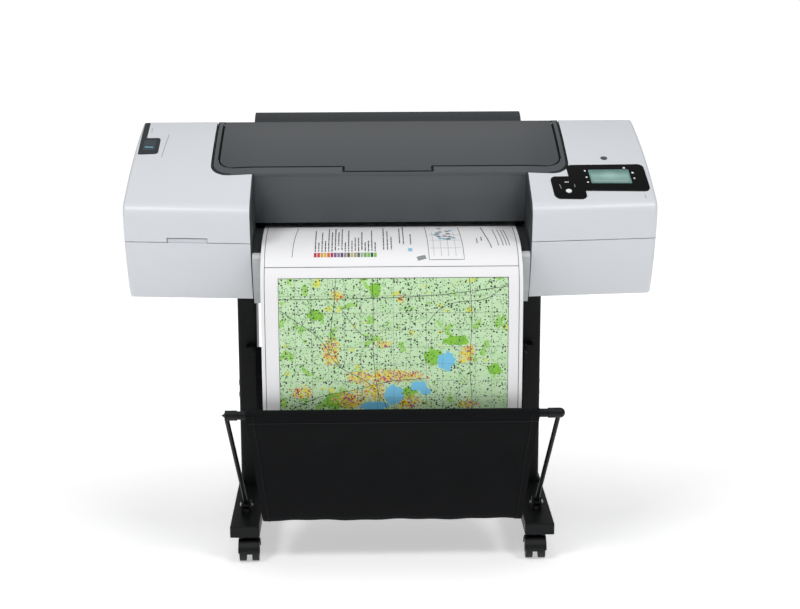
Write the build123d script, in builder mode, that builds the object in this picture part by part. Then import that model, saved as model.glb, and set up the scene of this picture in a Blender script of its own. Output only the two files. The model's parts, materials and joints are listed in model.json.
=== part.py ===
"""A 24-inch large format roll plotter on a wheeled stand, as an assembly of separate pieces.

Millimetres. +X is the user's right, +Y runs from the front to the back, +Z is up.
The origin is on the floor, under the middle of the object.
Names ending in _X, _Y or _Z are places along that axis; the rest are lengths, radii or angles.
"""
from build123d import *
import math
import os

os.makedirs("parts", exist_ok=True)

# ---------------------------------------------------------------- driving dimensions
HALF_WIDTH = 630.0  # half of the overall width, over the end covers
OPENING_X = 330.0  # half of the width between the two end covers
BODY_BOTTOM_Z = 648.0  # underside of the end covers
SEAM_Z = 792.0  # parting line between the upper and lower front covers
BACK_Y = 212.0  # back of the end covers
FRONT_Y = -208.0  # front corner of the end covers at their outer ends
TOP_BACK_Y, TOP_BACK_Z = 153.0, 1031.0  # highest point of the end covers
FRONT_BULGE = 1.11  # how much deeper the front is at the opening than at the outer ends
WALL = 3.0  # moulded wall thickness
GAP = 0.5  # clearance beside a moving or clipped piece
SEAM_GAP = 1.3  # parting line between the upper and lower front covers
HOOD_GAP = 3.0  # shadow line between the hood and the end covers
LID_GAP = 3.0  # shadow line round the lid
LID_BACK_GAP = 4.6  # room for the lid's back edge to turn down behind its hinge
LEAN = math.radians(1.95)  # the end faces lean in towards the back

BEZEL_X, BEZEL_FRONT_Y, BEZEL_R = 428.0, -118.0, 46.0  # dark hood round the lid
LID_X, LID_FRONT_Y, LID_BACK_Y, LID_R = 410.0, -88.0, 150.0, 34.0
LID_TAB_X, LID_TAB_Y = (-109.0, 99.0), -109.0  # finger tab at the lid's front edge
LID_AXIS_Y, LID_AXIS_DROP = 145.0, 6.0
LID_PIN_X, LID_PIN_R = 404.0, 2.5  # middle of each lid hinge pin
KNUCKLE_R = 5.0
HOOD_THICK, LID_POCKET = 6.0, 3.4
FASCIA_FOOT = (-83.0, 815.0)  # lower front edge of the hood's front wall, (Y, Z)

PAPER_HALF = 305.0  # half of the 24-inch (610 mm) roll width
PAPER_Z = 800.0  # underside of the paper on the platen
PAPER_THICK = 1.0
DRIVE_Y, DRIVE_R = 55.0, 12.0  # drive roller under the paper
DRIVE_Z = PAPER_Z - 0.5 - DRIVE_R
PINCH_R, PINCH_Z = 5.0, 806.8

ROLL_Y, ROLL_Z, ROLL_R = 258.0, 950.0, 43.0  # the roll of paper on its spindle
CORE_R, SPINDLE_R, JOURNAL_R = 27.5, 12.0, 8.0
ROLL_COVER_R, ROLL_COVER_X = 92.0, 341.0
PAPER_SLOT_Z = (859.0, 881.0)  # slot in the back wall that takes the paper in
ROLL_AXIS_Y, ROLL_AXIS_Z = 200.0, 1020.0  # hinge of the roll cover

FRAME_X, FRAME_THICK, FRAME_TOP_Z = 592.0, 4.0, 938.0  # inner steel side plates
TRAY_Z0, TRAY_Z1 = 651.0, 654.0
BEAM_Y, BEAM_Z = (50.0, 75.0), (830.0, 930.0)
ROD_Y, ROD_Z, ROD_R = 30.0, 850.0, 6.0  # the carriage slides on this rod
CUT_Y, CUT_Z, CUT_R = -69.0, 842.0, 3.0  # the cutter slides on this one
CARRIAGE_X, CARRIAGE_HALF = 480.0, 75.0  # parked over the service station
BELT_Z, PULLEY_X, PULLEY_R, BELT_Y = 890.0, 572.0, 8.0, (43.5, 48.5)
GEAR_R, PINION_R, GEAR_X = 30.0, 8.0, (598.0, 606.0)
PINION_Y = DRIVE_Y + GEAR_R + PINION_R + 0.3

DOOR_BACK_Y = -140.0  # where the lower front covers end on the side wall
DOOR_AXIS_Y, DOOR_AXIS_Z = -145.0, 653.0
DOOR_KNUCKLE_R = 5.0
DOOR_SWING_GAP = 2.8  # behind the lower covers, where the ink door's rear edge turns
GRIP_X, GRIP_HEIGHT = (-527.0, -431.0), 12.0  # finger notch over the ink door
CARTRIDGES, CARTRIDGE_PITCH = 6, 40.0

PANEL_X, PANEL_Y, PANEL_TURN = (426.0, 614.0), (-176.0, -82.0), 4.0
KEYS_X, KEYS_Y = (383.0, 460.0), (-211.0, -134.0)
SCREEN_X, SCREEN_Y = (476.0, 575.0), (-152.0, -101.0)
BUTTON_X, BUTTON_Y, BUTTON_R, BUTTON_TRAVEL = 420.0, -187.0, 7.0, 1.5

LEVER_X, LEVER_Y = (-612.0, -565.0), (-18.0, 58.0)
LEVER_ARM_X, LEVER_AXIS_Y = (-612.0, -600.0), 146.0
LEVER_AXIS_DROP, LEVER_TAIL = 6.0, 2.0  # depth of the lever's axis, and the arm's length behind it

FOOT_X, FOOT_HALF = 360.0, 36.0  # middle and half width of a foot
FOOT_Y = (-233.0, 322.0)
FOOT_Z = (64.0, 92.0)
LEG_X = (340.0, 389.0)
LEG_Y = (95.0, 185.0)
PIVOT_X, PIVOT_Y, PIVOT_Z = 362.0, -120.0, 108.0  # basket arm pivots on the feet
BAR_Y, BAR_Z, BAR_R, BAR_X = -338.0, 406.0, 10.0, 389.0  # front bar of the basket
REAR_BAR_Y, REAR_BAR_Z, REAR_BAR_R = 72.0, 455.0, 8.0
SLING_X, SLING_FOLD_X, SLING_FOLD_Z = 343.0, 311.0, 108.0
SLING_THICK = 1.6
CASTER_X, CASTER_YS, CASTER_TRAIL = 350.0, (-200.0, 288.0), 16.0
WHEEL_R, WHEEL_WIDTH, STEM_R = 26.0, 16.0, 5.5


# ---------------------------------------------------------------- helpers
def save(builder, label):
    """Labels a finished piece and writes it to its own STEP file."""
    builder.part.label = label
    export_step(builder.part, f"parts/{label}.step")
    return builder.part


def block(x, y, z, mode=Mode.ADD):
    """A box between two values of X, of Y and of Z."""
    centre = [(low + high) / 2 for low, high in (x, y, z)]
    with Locations(tuple(centre)):
        return Box(x[1] - x[0], y[1] - y[0], z[1] - z[0], mode=mode)


def rod_x(x, y, z, radius, mode=Mode.ADD):
    """A cylinder along X between two values of X."""
    with Locations(Location(((x[0] + x[1]) / 2, y, z), (0, 90, 0))):
        return Cylinder(radius, x[1] - x[0], mode=mode)


def rod_y(x, y, z, radius, mode=Mode.ADD):
    """A cylinder along Y between two values of Y."""
    with Locations(Location((x, (y[0] + y[1]) / 2, z), (90, 0, 0))):
        return Cylinder(radius, y[1] - y[0], mode=mode)


def rod_z(x, y, z, radius, mode=Mode.ADD):
    """A cylinder along Z between two values of Z."""
    with Locations((x, y, (z[0] + z[1]) / 2)):
        return Cylinder(radius, z[1] - z[0], mode=mode)


def side_slab(points, x, mode=Mode.ADD):
    """A slab between two values of X whose side view is a polygon of (Y, Z) points."""
    with BuildSketch(Plane.YZ.offset(x[0]), mode=Mode.PRIVATE) as sketch:
        with BuildLine():
            Polyline(*points, close=True)
        make_face()
    return extrude(sketch.sketch, amount=x[1] - x[0], mode=mode)


def flip(part):
    """The same solid on the left-hand side."""
    return mirror(part, about=Plane.YZ, mode=Mode.PRIVATE)


def arc_circle(a, b, c):
    """Centre and radius of the circle through three points."""
    (ax, ay), (bx, by), (cx, cy) = a, b, c
    d = 2 * (ax * (by - cy) + bx * (cy - ay) + cx * (ay - by))
    aa, bb, cc = ax * ax + ay * ay, bx * bx + by * by, cx * cx + cy * cy
    ux = (aa * (by - cy) + bb * (cy - ay) + cc * (ay - by)) / d
    uy = (aa * (cx - bx) + bb * (ax - cx) + cc * (bx - ax)) / d
    return ux, uy, math.hypot(ax - ux, ay - uy)


# ---------------------------------------------------------------- the body's side outline, (Y, Z)
FRONT_FOOT = (-143.0, BODY_BOTTOM_Z)
FRONT_MID = (-180.0, 735.0)
SHOULDER = (FRONT_Y, 876.0)
TOP_MID = (-37.0, 966.0)
TOP_BACK = (TOP_BACK_Y, TOP_BACK_Z)
BACK_SLOPE = (206.0, 1010.0)
BACK_TOP = (BACK_Y, 985.0)
BACK_FOOT = (BACK_Y, BODY_BOTTOM_Z)
SHOULDER_R = 34.0
END_FILLET = 9.0
TOP_ARC = arc_circle(SHOULDER, TOP_MID, TOP_BACK)
# How far each corner of the outline moves for 1 mm of inset, so that the skins stay parallel.
INWARD = {
    FRONT_FOOT: (0.66, 1.0),
    FRONT_MID: (0.97, 0.25),
    SHOULDER: (1.0, -0.57),
    TOP_MID: (0.41, -0.91),
    TOP_BACK: (0.0, -1.06),
    BACK_SLOPE: (-1.0, -0.65),
    BACK_TOP: (-1.0, -0.1),
    BACK_FOOT: (-1.0, 1.0),
}


def widened(y, factor):
    """A depth with its distance in front of the top's back edge multiplied."""
    return TOP_BACK_Y + (y - TOP_BACK_Y) * factor if y < TOP_BACK_Y else y


def surface_z(x, y):
    """Height of the body's top surface."""
    share = max(0.0, (abs(x) - OPENING_X) / (HALF_WIDTH - OPENING_X))
    factor = FRONT_BULGE - (FRONT_BULGE - 1) * share
    cy, cz, radius = TOP_ARC
    along = TOP_BACK_Y + (y - TOP_BACK_Y) / factor
    return cz + math.sqrt(radius**2 - (along - cy) ** 2)


def surface_plane(x, y):
    """A plane that lies on the body's top surface, its Z pointing out of it."""
    slope = (surface_z(x, y + 1) - surface_z(x, y - 1)) / 2
    return Plane(origin=(x, y, surface_z(x, y)), x_dir=(1, 0, 0), z_dir=(0, -slope, 1))


def outline(plane, factor, datum_y, inset):
    """The body's side outline on a plane whose local X runs along Y from datum_y."""

    def at(point):
        along, up = INWARD[point]
        return (widened(point[0], factor) - datum_y + along * inset, point[1] + up * inset)

    with BuildSketch(plane, mode=Mode.PRIVATE) as sketch:
        with BuildLine():
            ThreePointArc(at(FRONT_FOOT), at(FRONT_MID), at(SHOULDER))
            ThreePointArc(at(SHOULDER), at(TOP_MID), at(TOP_BACK))
            Polyline(at(TOP_BACK), at(BACK_SLOPE), at(BACK_TOP), at(BACK_FOOT), at(FRONT_FOOT))
        make_face()
        corner = Vector(*at(SHOULDER))
        fillet(sketch.vertices().sort_by_distance(corner)[0], SHOULDER_R - inset)
    return sketch.sketch


def outer_plane(x):
    """The leaning plane of an end cover's outer face."""
    return Plane(
        origin=(x, FRONT_Y, 0),
        x_dir=(-math.sin(LEAN), math.cos(LEAN), 0),
        z_dir=(math.cos(LEAN), math.sin(LEAN), 0),
    )


def end_solid(inset, end_inset, fillet_radius=0.0):
    """The right-hand end of the body as one solid, its skin moved inwards by inset."""
    with BuildPart(mode=Mode.PRIVATE) as solid:
        loft(
            sections=[
                outline(Plane.YZ.offset(OPENING_X), FRONT_BULGE, 0, inset),
                outline(outer_plane(HALF_WIDTH - end_inset), 1.0, FRONT_Y, inset),
            ],
            ruled=True,
        )
        if fillet_radius:
            fillet(solid.faces().sort_by(Axis.X)[-1].edges(), fillet_radius)
    return solid.part


def middle_solid(inset):
    """The middle of the body as one solid, its skin moved inwards by inset."""
    return extrude(
        outline(Plane.YZ.offset(-OPENING_X), FRONT_BULGE, 0, inset),
        amount=2 * OPENING_X,
        mode=Mode.PRIVATE,
    )


END_OUTER = end_solid(0.0, 0.0, END_FILLET)
END_INNER = end_solid(WALL, WALL + 2)
END_PROUD = end_solid(-2.0, -2.0)
END_DEEP = end_solid(HOOD_THICK, HOOD_THICK + 2)
END_POCKET = end_solid(LID_POCKET, LID_POCKET + 2)


# ---------------------------------------------------------------- footprints seen from above
def footprint(sketch_part):
    """A tall prism that a footprint cuts out of the body's top."""
    return extrude(sketch_part, amount=400, mode=Mode.PRIVATE)


def hood_prism(gap):
    """The hood's outline: square at the back, with rounded front corners."""
    half, front, back = BEZEL_X + gap, BEZEL_FRONT_Y - gap, BACK_Y + 20
    with BuildSketch(Plane.XY.offset(820), mode=Mode.PRIVATE) as sketch:
        with Locations((0, (front + back) / 2)):
            Rectangle(2 * half, back - front)
        fillet(sketch.vertices().group_by(Axis.Y)[0], BEZEL_R)
    return footprint(sketch.sketch)


def hood_space(gap):
    """The hood's outline without the back wall under the hood's rear edge."""
    with BuildPart(mode=Mode.PRIVATE) as under:
        block((-BEZEL_X - 9, BEZEL_X + 9), (140, BACK_Y + 30), (800, BACK_TOP[1] - min(gap, GAP) + GAP))
    return hood_prism(gap) - under.part


def lid_prism(gap, back_gap):
    """The lid's outline with its finger tab."""
    half, front, back = LID_X + gap, LID_FRONT_Y - gap, LID_BACK_Y + back_gap
    with BuildSketch(Plane.XY.offset(820), mode=Mode.PRIVATE) as sketch:
        with Locations((0, (front + back) / 2)):
            Rectangle(2 * half, back - front)
        fillet(sketch.vertices().group_by(Axis.Y)[0], LID_R)
        with Locations((sum(LID_TAB_X) / 2, (LID_TAB_Y - gap + front) / 2 + 5)):
            Rectangle(LID_TAB_X[1] - LID_TAB_X[0] + 2 * gap, front - LID_TAB_Y + gap + 10)
    return footprint(sketch.sketch)


def rectangle_prism(x, y, radius, turn=0.0, base_z=820.0):
    """A rounded rectangle between two values of X and of Y, turned about its own middle."""
    with BuildSketch(Plane.XY.offset(base_z), mode=Mode.PRIVATE) as sketch:
        with Locations(Location(((x[0] + x[1]) / 2, (y[0] + y[1]) / 2, 0), (0, 0, turn))):
            RectangleRounded(x[1] - x[0], y[1] - y[0], radius)
    return footprint(sketch.sketch)


def panel_prism(gap):
    """The control panel's outline: a wide field and a smaller one with the keys."""
    wide = rectangle_prism(
        (PANEL_X[0] - gap, PANEL_X[1] + gap), (PANEL_Y[0] - gap, PANEL_Y[1] + gap), 14 + gap, PANEL_TURN
    )
    keys = rectangle_prism(
        (KEYS_X[0] - gap, KEYS_X[1] + gap), (KEYS_Y[0] - gap, KEYS_Y[1] + gap), 14 + gap, PANEL_TURN
    )
    return wide + keys


def lever_prism(gap):
    """The load lever's outline: a pad and the arm that runs back from it."""
    pad = rectangle_prism(
        (LEVER_X[0] - gap, LEVER_X[1] + gap), (LEVER_Y[0] - gap, LEVER_Y[1] + gap), 8 + gap
    )
    arm = rectangle_prism(
        (LEVER_ARM_X[0] - gap, LEVER_ARM_X[1] + gap), (LEVER_Y[0], LEVER_AXIS_Y + LEVER_TAIL + 7 * gap), 1
    )
    return pad + arm


# ---------------------------------------------------------------- covers
def below_seam(end, gap, back_gap):
    """The space of a lower front cover, on the right."""
    with BuildPart(mode=Mode.PRIVATE) as space:
        block((OPENING_X - 1, end), (-400, DOOR_BACK_Y + back_gap), (500, SEAM_Z + gap))
    return space.part


def make_covers():
    """The upper end covers, the ink door on the left and the fixed cover on the right."""
    shell = END_OUTER - END_INNER
    lower = shell & below_seam(HALF_WIDTH + 10, 0.0, 0.0)
    lower_space = below_seam(HALF_WIDTH + 10, SEAM_GAP, DOOR_SWING_GAP)
    hood_room = hood_space(HOOD_GAP)
    panel_room = panel_prism(0.4)
    lever_room = lever_prism(1.0)
    with BuildPart() as right:
        add(shell)
        add(lower_space, mode=Mode.SUBTRACT)
        add(hood_room, mode=Mode.SUBTRACT)
        add(panel_room, mode=Mode.SUBTRACT)
        block((428, 484), (BACK_Y - 20, BACK_Y + 20), (680, 712), mode=Mode.SUBTRACT)
        block((508, 588), (BACK_Y - 20, BACK_Y + 20), (684, 708), mode=Mode.SUBTRACT)
    save(right, "right_cover")
    left_shell, left_lower_space, left_lower = flip(shell), flip(lower_space), flip(lower)
    with BuildPart() as left:
        add(left_shell)
        add(left_lower_space, mode=Mode.SUBTRACT)
        add(hood_room, mode=Mode.SUBTRACT)
        add(lever_room, mode=Mode.SUBTRACT)
        block(GRIP_X, (-260, -190), (SEAM_Z - 1, SEAM_Z + GRIP_HEIGHT), mode=Mode.SUBTRACT)
    save(left, "left_cover")
    with BuildPart() as fixed:
        add(lower)
    save(fixed, "right_lower_cover")
    tongue = (flip(END_INNER) - flip(END_DEEP)) & grip_space()
    with BuildPart() as door:
        add(left_lower)
        add(tongue)
        for x in door_knuckles():
            notch_y = (DOOR_AXIS_Y - DOOR_KNUCKLE_R - 0.5, DOOR_BACK_Y + 9)
            block((x - 13.5, x + 13.5), notch_y, (BODY_BOTTOM_Z - 9, DOOR_AXIS_Z + 8), mode=Mode.SUBTRACT)
            block((x - 6, x + 6), (DOOR_AXIS_Y - 11, DOOR_AXIS_Y), (BODY_BOTTOM_Z, DOOR_AXIS_Z + 5))
            rod_x((x - 6, x + 6), DOOR_AXIS_Y, DOOR_AXIS_Z, DOOR_KNUCKLE_R)
            rod_x((x - 6, x + 6), DOOR_AXIS_Y, DOOR_AXIS_Z, 2.05, mode=Mode.SUBTRACT)
    save(door, "ink_door")


def grip_space():
    """The band behind the finger notch that the ink door's tongue fills."""
    with BuildPart(mode=Mode.PRIVATE) as space:
        block((GRIP_X[0] + 1, GRIP_X[1] - 1), (-260, -190), (SEAM_Z - 14, SEAM_Z + GRIP_HEIGHT - 2))
    return space.part


def door_knuckles():
    """Middles of the ink door's hinge knuckles along X."""
    return (-530.0, -375.0)


def make_hood():
    """The dark hood: the frame round the lid, the front wall under it and the lid's seat."""
    ring = hood_space(0.0)
    middle = (middle_solid(0.0) - middle_solid(HOOD_THICK)) & ring
    right_end = (END_OUTER - END_DEEP) & ring
    left_end = flip(right_end)
    seat = lid_prism(LID_GAP, LID_BACK_GAP) - middle_solid(LID_POCKET) - END_POCKET - flip(END_POCKET)
    back = LID_BACK_Y + LID_BACK_GAP
    opening = rectangle_prism((-LID_X + 10, LID_X - 10), (LID_FRONT_Y + 12, back), 2)
    back_room = rectangle_prism((-LID_X - LID_GAP, LID_X + LID_GAP), (LID_AXIS_Y - 12, back), 0.2)
    front_top = surface_z(0, BEZEL_FRONT_Y)
    front_wall = [
        (BEZEL_FRONT_Y, front_top - 1.5),
        FASCIA_FOOT,
        (FASCIA_FOOT[0] + WALL, FASCIA_FOOT[1]),
        (BEZEL_FRONT_Y + 6, front_top - 6),
        (BEZEL_FRONT_Y + 6, front_top),
    ]
    lug_inner, lug_outer = LID_X + LID_GAP - 0.2, LID_PIN_X + 20
    with BuildPart() as hood:
        add(middle)
        add(right_end)
        add(left_end)
        add(seat, mode=Mode.SUBTRACT)
        add(opening, mode=Mode.SUBTRACT)
        add(back_room, mode=Mode.SUBTRACT)
        side_slab(front_wall, (4 - OPENING_X, OPENING_X - 4))
        for side in (-1, 1):
            post = sorted((side * (lug_inner + 1), side * lug_outer))
            block(post, BEAM_Y, (BEAM_Z[1], surface_z(0, BEAM_Y[0]) - 5))
            lug = sorted((side * lug_inner, side * lug_outer))
            block(lug, (LID_AXIS_Y - 7, LID_AXIS_Y + 7), (lid_axis_z() - 6, lid_axis_z() + 3))
            for x in roll_knuckles():
                for offset in (-9.5, 9.5):
                    centre = side * x + offset
                    block((centre - 3, centre + 3), (195, 207), (1005, ROLL_AXIS_Z))
                    rod_x((centre - 3, centre + 3), ROLL_AXIS_Y + 1, ROLL_AXIS_Z, KNUCKLE_R)
                    rod_x((centre - 3, centre + 3), ROLL_AXIS_Y, ROLL_AXIS_Z, 2, mode=Mode.SUBTRACT)
            pin = (side * LID_PIN_X - 20, side * LID_PIN_X + 20)
            rod_x(pin, LID_AXIS_Y, lid_axis_z(), LID_PIN_R, mode=Mode.SUBTRACT)
    save(hood, "hood")


def lid_axis_z():
    """Height of the lid's hinge axis."""
    return surface_z(0, LID_AXIS_Y) - LID_AXIS_DROP


def roll_knuckles():
    """Middles of the roll cover's hinge knuckles, to each side."""
    return (280.0,)


def make_lid():
    """The main lid with its finger tab and its two hinge knuckles."""
    outside = middle_solid(0.0) + END_OUTER + flip(END_OUTER)
    inside = middle_solid(WALL) + END_INNER + flip(END_INNER)
    panel = (outside - inside) & lid_prism(0.0, 0.0)
    with BuildPart() as lid:
        add(panel)
        for side in (-1, 1):
            knuckle = sorted((side * 386, side * 399))
            block(knuckle, (LID_AXIS_Y - 6, LID_AXIS_Y + 4), (lid_axis_z(), surface_z(0, 138) - 1.2))
            rod_x(knuckle, LID_AXIS_Y, lid_axis_z(), KNUCKLE_R)
            rod_x(knuckle, LID_AXIS_Y, lid_axis_z(), LID_PIN_R + 0.05, mode=Mode.SUBTRACT)
    save(lid, "main_lid")


def make_recess_walls():
    """The dark walls at both sides of the paper opening."""
    side_view = outline(Plane.YZ.offset(OPENING_X - 4), FRONT_BULGE, 0, 0.6)
    slab = extrude(side_view, amount=4, mode=Mode.PRIVATE)
    with BuildPart(mode=Mode.PRIVATE) as front:
        block((OPENING_X - 10, OPENING_X + 10), (-400, FASCIA_FOOT[0] + 4), (600, 1000))
    with BuildPart(mode=Mode.PRIVATE) as tray_space:
        block((OPENING_X - 10, OPENING_X + 10), (-126, 0), (600, TRAY_Z1 + 0.3))
    under_hood = hood_prism(GAP) - middle_solid(HOOD_THICK + 0.3) - end_solid(HOOD_THICK + 0.3, 20)
    right_wall = (slab & front.part) - tray_space.part - under_hood
    left_wall = flip(right_wall)
    with BuildPart() as walls:
        add(right_wall)
        add(left_wall)
    save(walls, "recess_walls")


def make_guides():
    """The paper's way out: the platen, the floor before it and the light front guide under that."""
    with BuildPart() as platen:
        side_slab(
            [
                (DRIVE_Y - DRIVE_R - 1, PAPER_Z - 0.5),
                (-75, PAPER_Z - 0.5),
                (-125, 793),
                (-180, 778),
                (-222, 762),
                (-222, 757),
                (-178, 773),
                (-123, 787),
                (-60, 790),
                (DRIVE_Y - DRIVE_R - 1, 790),
            ],
            (4 - OPENING_X, OPENING_X - 4),
        )
        with Locations((0, 8, PAPER_Z - 0.5)):
            with GridLocations(26, 24, 24, 2):
                Box(14, 10, 3, align=(Align.CENTER, Align.CENTER, Align.MAX), mode=Mode.SUBTRACT)
        for x in (-300, 0, 300):
            block((x - 8, x + 8), (-20, 20), (TRAY_Z1, 791))
    save(platen, "platen")
    with BuildPart() as guide:
        x = (4 - OPENING_X, OPENING_X - 4)
        shape = [(-224, 769), (-238, 767), (-242, 759), (-232, 712), (-214, 672), (-190, 640), (-128, 640)]
        side_slab([*shape, (-128, TRAY_Z0)], x)
        hollow = [(-223, 766), (-237, 763), (-239, 758), (-229, 712), (-211, 674), (-188, 643), (-120, 643)]
        side_slab([*hollow, (-120, 766)], (x[0] - 1, x[1] + 1), mode=Mode.SUBTRACT)
    save(guide, "front_guide")


def make_rear_cover():
    """The middle of the back wall, with the slot that takes the paper in."""
    with BuildPart(mode=Mode.PRIVATE) as keep:
        block((-OPENING_X, OPENING_X), (150, 300), (TRAY_Z1, 984.5))
    wall = (middle_solid(0.0) - middle_solid(WALL)) & keep.part
    with BuildPart() as rear:
        add(wall)
        block((-OPENING_X, OPENING_X), (BACK_Y - WALL, BACK_Y), (TRAY_Z0, TRAY_Z1 + 1))
        block((-312, 312), (200, 220), PAPER_SLOT_Z, mode=Mode.SUBTRACT)
        for x in (-200, 0, 200):
            with Locations((x, BACK_Y, 740)):
                with GridLocations(12, 1, 8, 1):
                    Box(5, 20, 60, mode=Mode.SUBTRACT)
    save(rear, "rear_cover")


# ---------------------------------------------------------------- inside
def make_frame():
    """The base tray, the steel side plates, the beam between them and the two rods."""
    with BuildPart() as tray:
        block((-600, 600), (-125, 205), (TRAY_Z0, TRAY_Z1))
        block((-600, 600), (203, 205), (TRAY_Z1, TRAY_Z1 + 12))
        with Locations((0, 40, TRAY_Z0)):
            with GridLocations(90, 60, 6, 3):
                Box(50, 10, 20, mode=Mode.SUBTRACT)
        for x in door_knuckles():
            for lug in (-9.5, 9.5):
                block((x + lug - 3, x + lug + 3), (DOOR_AXIS_Y, -118), (TRAY_Z0, DOOR_AXIS_Z + 3))
                rod_x((x + lug - 3, x + lug + 3), DOOR_AXIS_Y, DOOR_AXIS_Z, DOOR_KNUCKLE_R)
                rod_x((x + lug - 3, x + lug + 3), DOOR_AXIS_Y, DOOR_AXIS_Z, 2, mode=Mode.SUBTRACT)
    save(tray, "base_tray")
    with BuildPart() as frames:
        for side in (-1, 1):
            x = sorted((side * FRAME_X, side * (FRAME_X + FRAME_THICK)))
            front = [(-20, FRAME_TOP_Z), (-80, 870), (-80, 800), (-30, TRAY_Z1)]
            side_slab([*front, (195, TRAY_Z1), (195, FRAME_TOP_Z)], x)
            rod_x(x, DRIVE_Y, DRIVE_Z, 6.06, mode=Mode.SUBTRACT)
            rod_x(x, 140, 720, 30, mode=Mode.SUBTRACT)
        rod_x((FRAME_X, FRAME_X + FRAME_THICK), PINION_Y, DRIVE_Z, 3.05, mode=Mode.SUBTRACT)
    save(frames, "side_frames")
    with BuildPart() as beam:
        block((-FRAME_X, FRAME_X), BEAM_Y, BEAM_Z)
        channel_y, channel_z = (BEAM_Y[0] + 3, BEAM_Y[1] + 1), (BEAM_Z[0] + 3, BEAM_Z[1] - 3)
        block((-FRAME_X, FRAME_X), channel_y, channel_z, mode=Mode.SUBTRACT)
        for x in (-240, -80, 80, 240):
            block((x - 3, x + 3), (DRIVE_Y - 5, DRIVE_Y + 5), (803, BEAM_Z[0]))
            rod_x((x - 3, x + 3), DRIVE_Y, PINCH_Z, 2.05, mode=Mode.SUBTRACT)
        for side in (-1, 1):
            rod_y(side * PULLEY_X, BEAM_Y, BELT_Z, 2.55, mode=Mode.SUBTRACT)
    save(beam, "beam")
    with BuildPart() as rods:
        rod_x((-FRAME_X, FRAME_X), ROD_Y, ROD_Z, ROD_R)
        rod_x((-FRAME_X, FRAME_X), CUT_Y, CUT_Z, CUT_R)
    save(rods, "guide_rods")
    with BuildPart() as strip:
        block((-FRAME_X, FRAME_X), (45.6, 46.4), (905, 915))
    save(strip, "encoder_strip")


def make_carriage():
    """The carriage, its printheads and the belt drive that pulls it."""
    x = (CARRIAGE_X - CARRIAGE_HALF, CARRIAGE_X + CARRIAGE_HALF)
    with BuildPart() as carriage:
        block(x, (-52, 20), (815, 918))
        fillet(carriage.edges().filter_by(Axis.Z) + carriage.faces().sort_by(Axis.Z)[-1].edges(), 6)
        block((x[0] + 4, x[1] - 4), (-48, 16), (810, 846), mode=Mode.SUBTRACT)
        block((x[0] + 10, x[1] - 10), (16, 42), (838, 862))
        rod_x((x[0], x[1]), ROD_Y, ROD_Z, ROD_R + 0.06, mode=Mode.SUBTRACT)
        block((CARRIAGE_X - 12, CARRIAGE_X + 12), (18, 42), (872, 876))
        block((CARRIAGE_X - 12, CARRIAGE_X + 12), (40, 48), (875, 880))
        block((CARRIAGE_X - 12, CARRIAGE_X + 12), (18, 42.5), (875, 887))
        block((CARRIAGE_X - 12, CARRIAGE_X + 12), (40, 48), (882.3, 887))
    save(carriage, "carriage")
    with BuildPart() as heads:
        for dx in (-34, 34):
            block((CARRIAGE_X + dx - 28, CARRIAGE_X + dx + 28), (-44, 12), (806, 846))
            block((CARRIAGE_X + dx - 12, CARRIAGE_X + dx + 12), (-40, 8), (803.5, 806))
    save(heads, "printheads")
    with BuildPart() as belt:
        rim, thick = PULLEY_R + 0.3, 1.2
        with BuildSketch(Plane.XZ.offset(-BELT_Y[0])) as loop:
            with Locations((0, BELT_Z)):
                SlotCenterToCenter(2 * PULLEY_X, 2 * (rim + thick))
                SlotCenterToCenter(2 * PULLEY_X, 2 * rim, mode=Mode.SUBTRACT)
        extrude(amount=-(BELT_Y[1] - BELT_Y[0]))
    save(belt, "drive_belt")
    with BuildPart() as pulley:
        rod_y(PULLEY_X, BELT_Y, BELT_Z, PULLEY_R)
        rod_y(PULLEY_X, (BELT_Y[0], 77), BELT_Z, 2.5)
    save(pulley, "scan_pulley")
    with BuildPart() as idler:
        rod_y(-PULLEY_X, BELT_Y, BELT_Z, PULLEY_R)
        rod_y(-PULLEY_X, (BELT_Y[0], 60), BELT_Z, 2.5)
    save(idler, "idler_pulley")
    with BuildPart() as cutter:
        block((-366, -336), (-76.5, -61), (804, 853))
        fillet(cutter.edges().filter_by(Axis.Z), 2)
        rod_x((-366, -336), CUT_Y, CUT_Z, CUT_R + 0.06, mode=Mode.SUBTRACT)
    save(cutter, "cutter")


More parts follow.
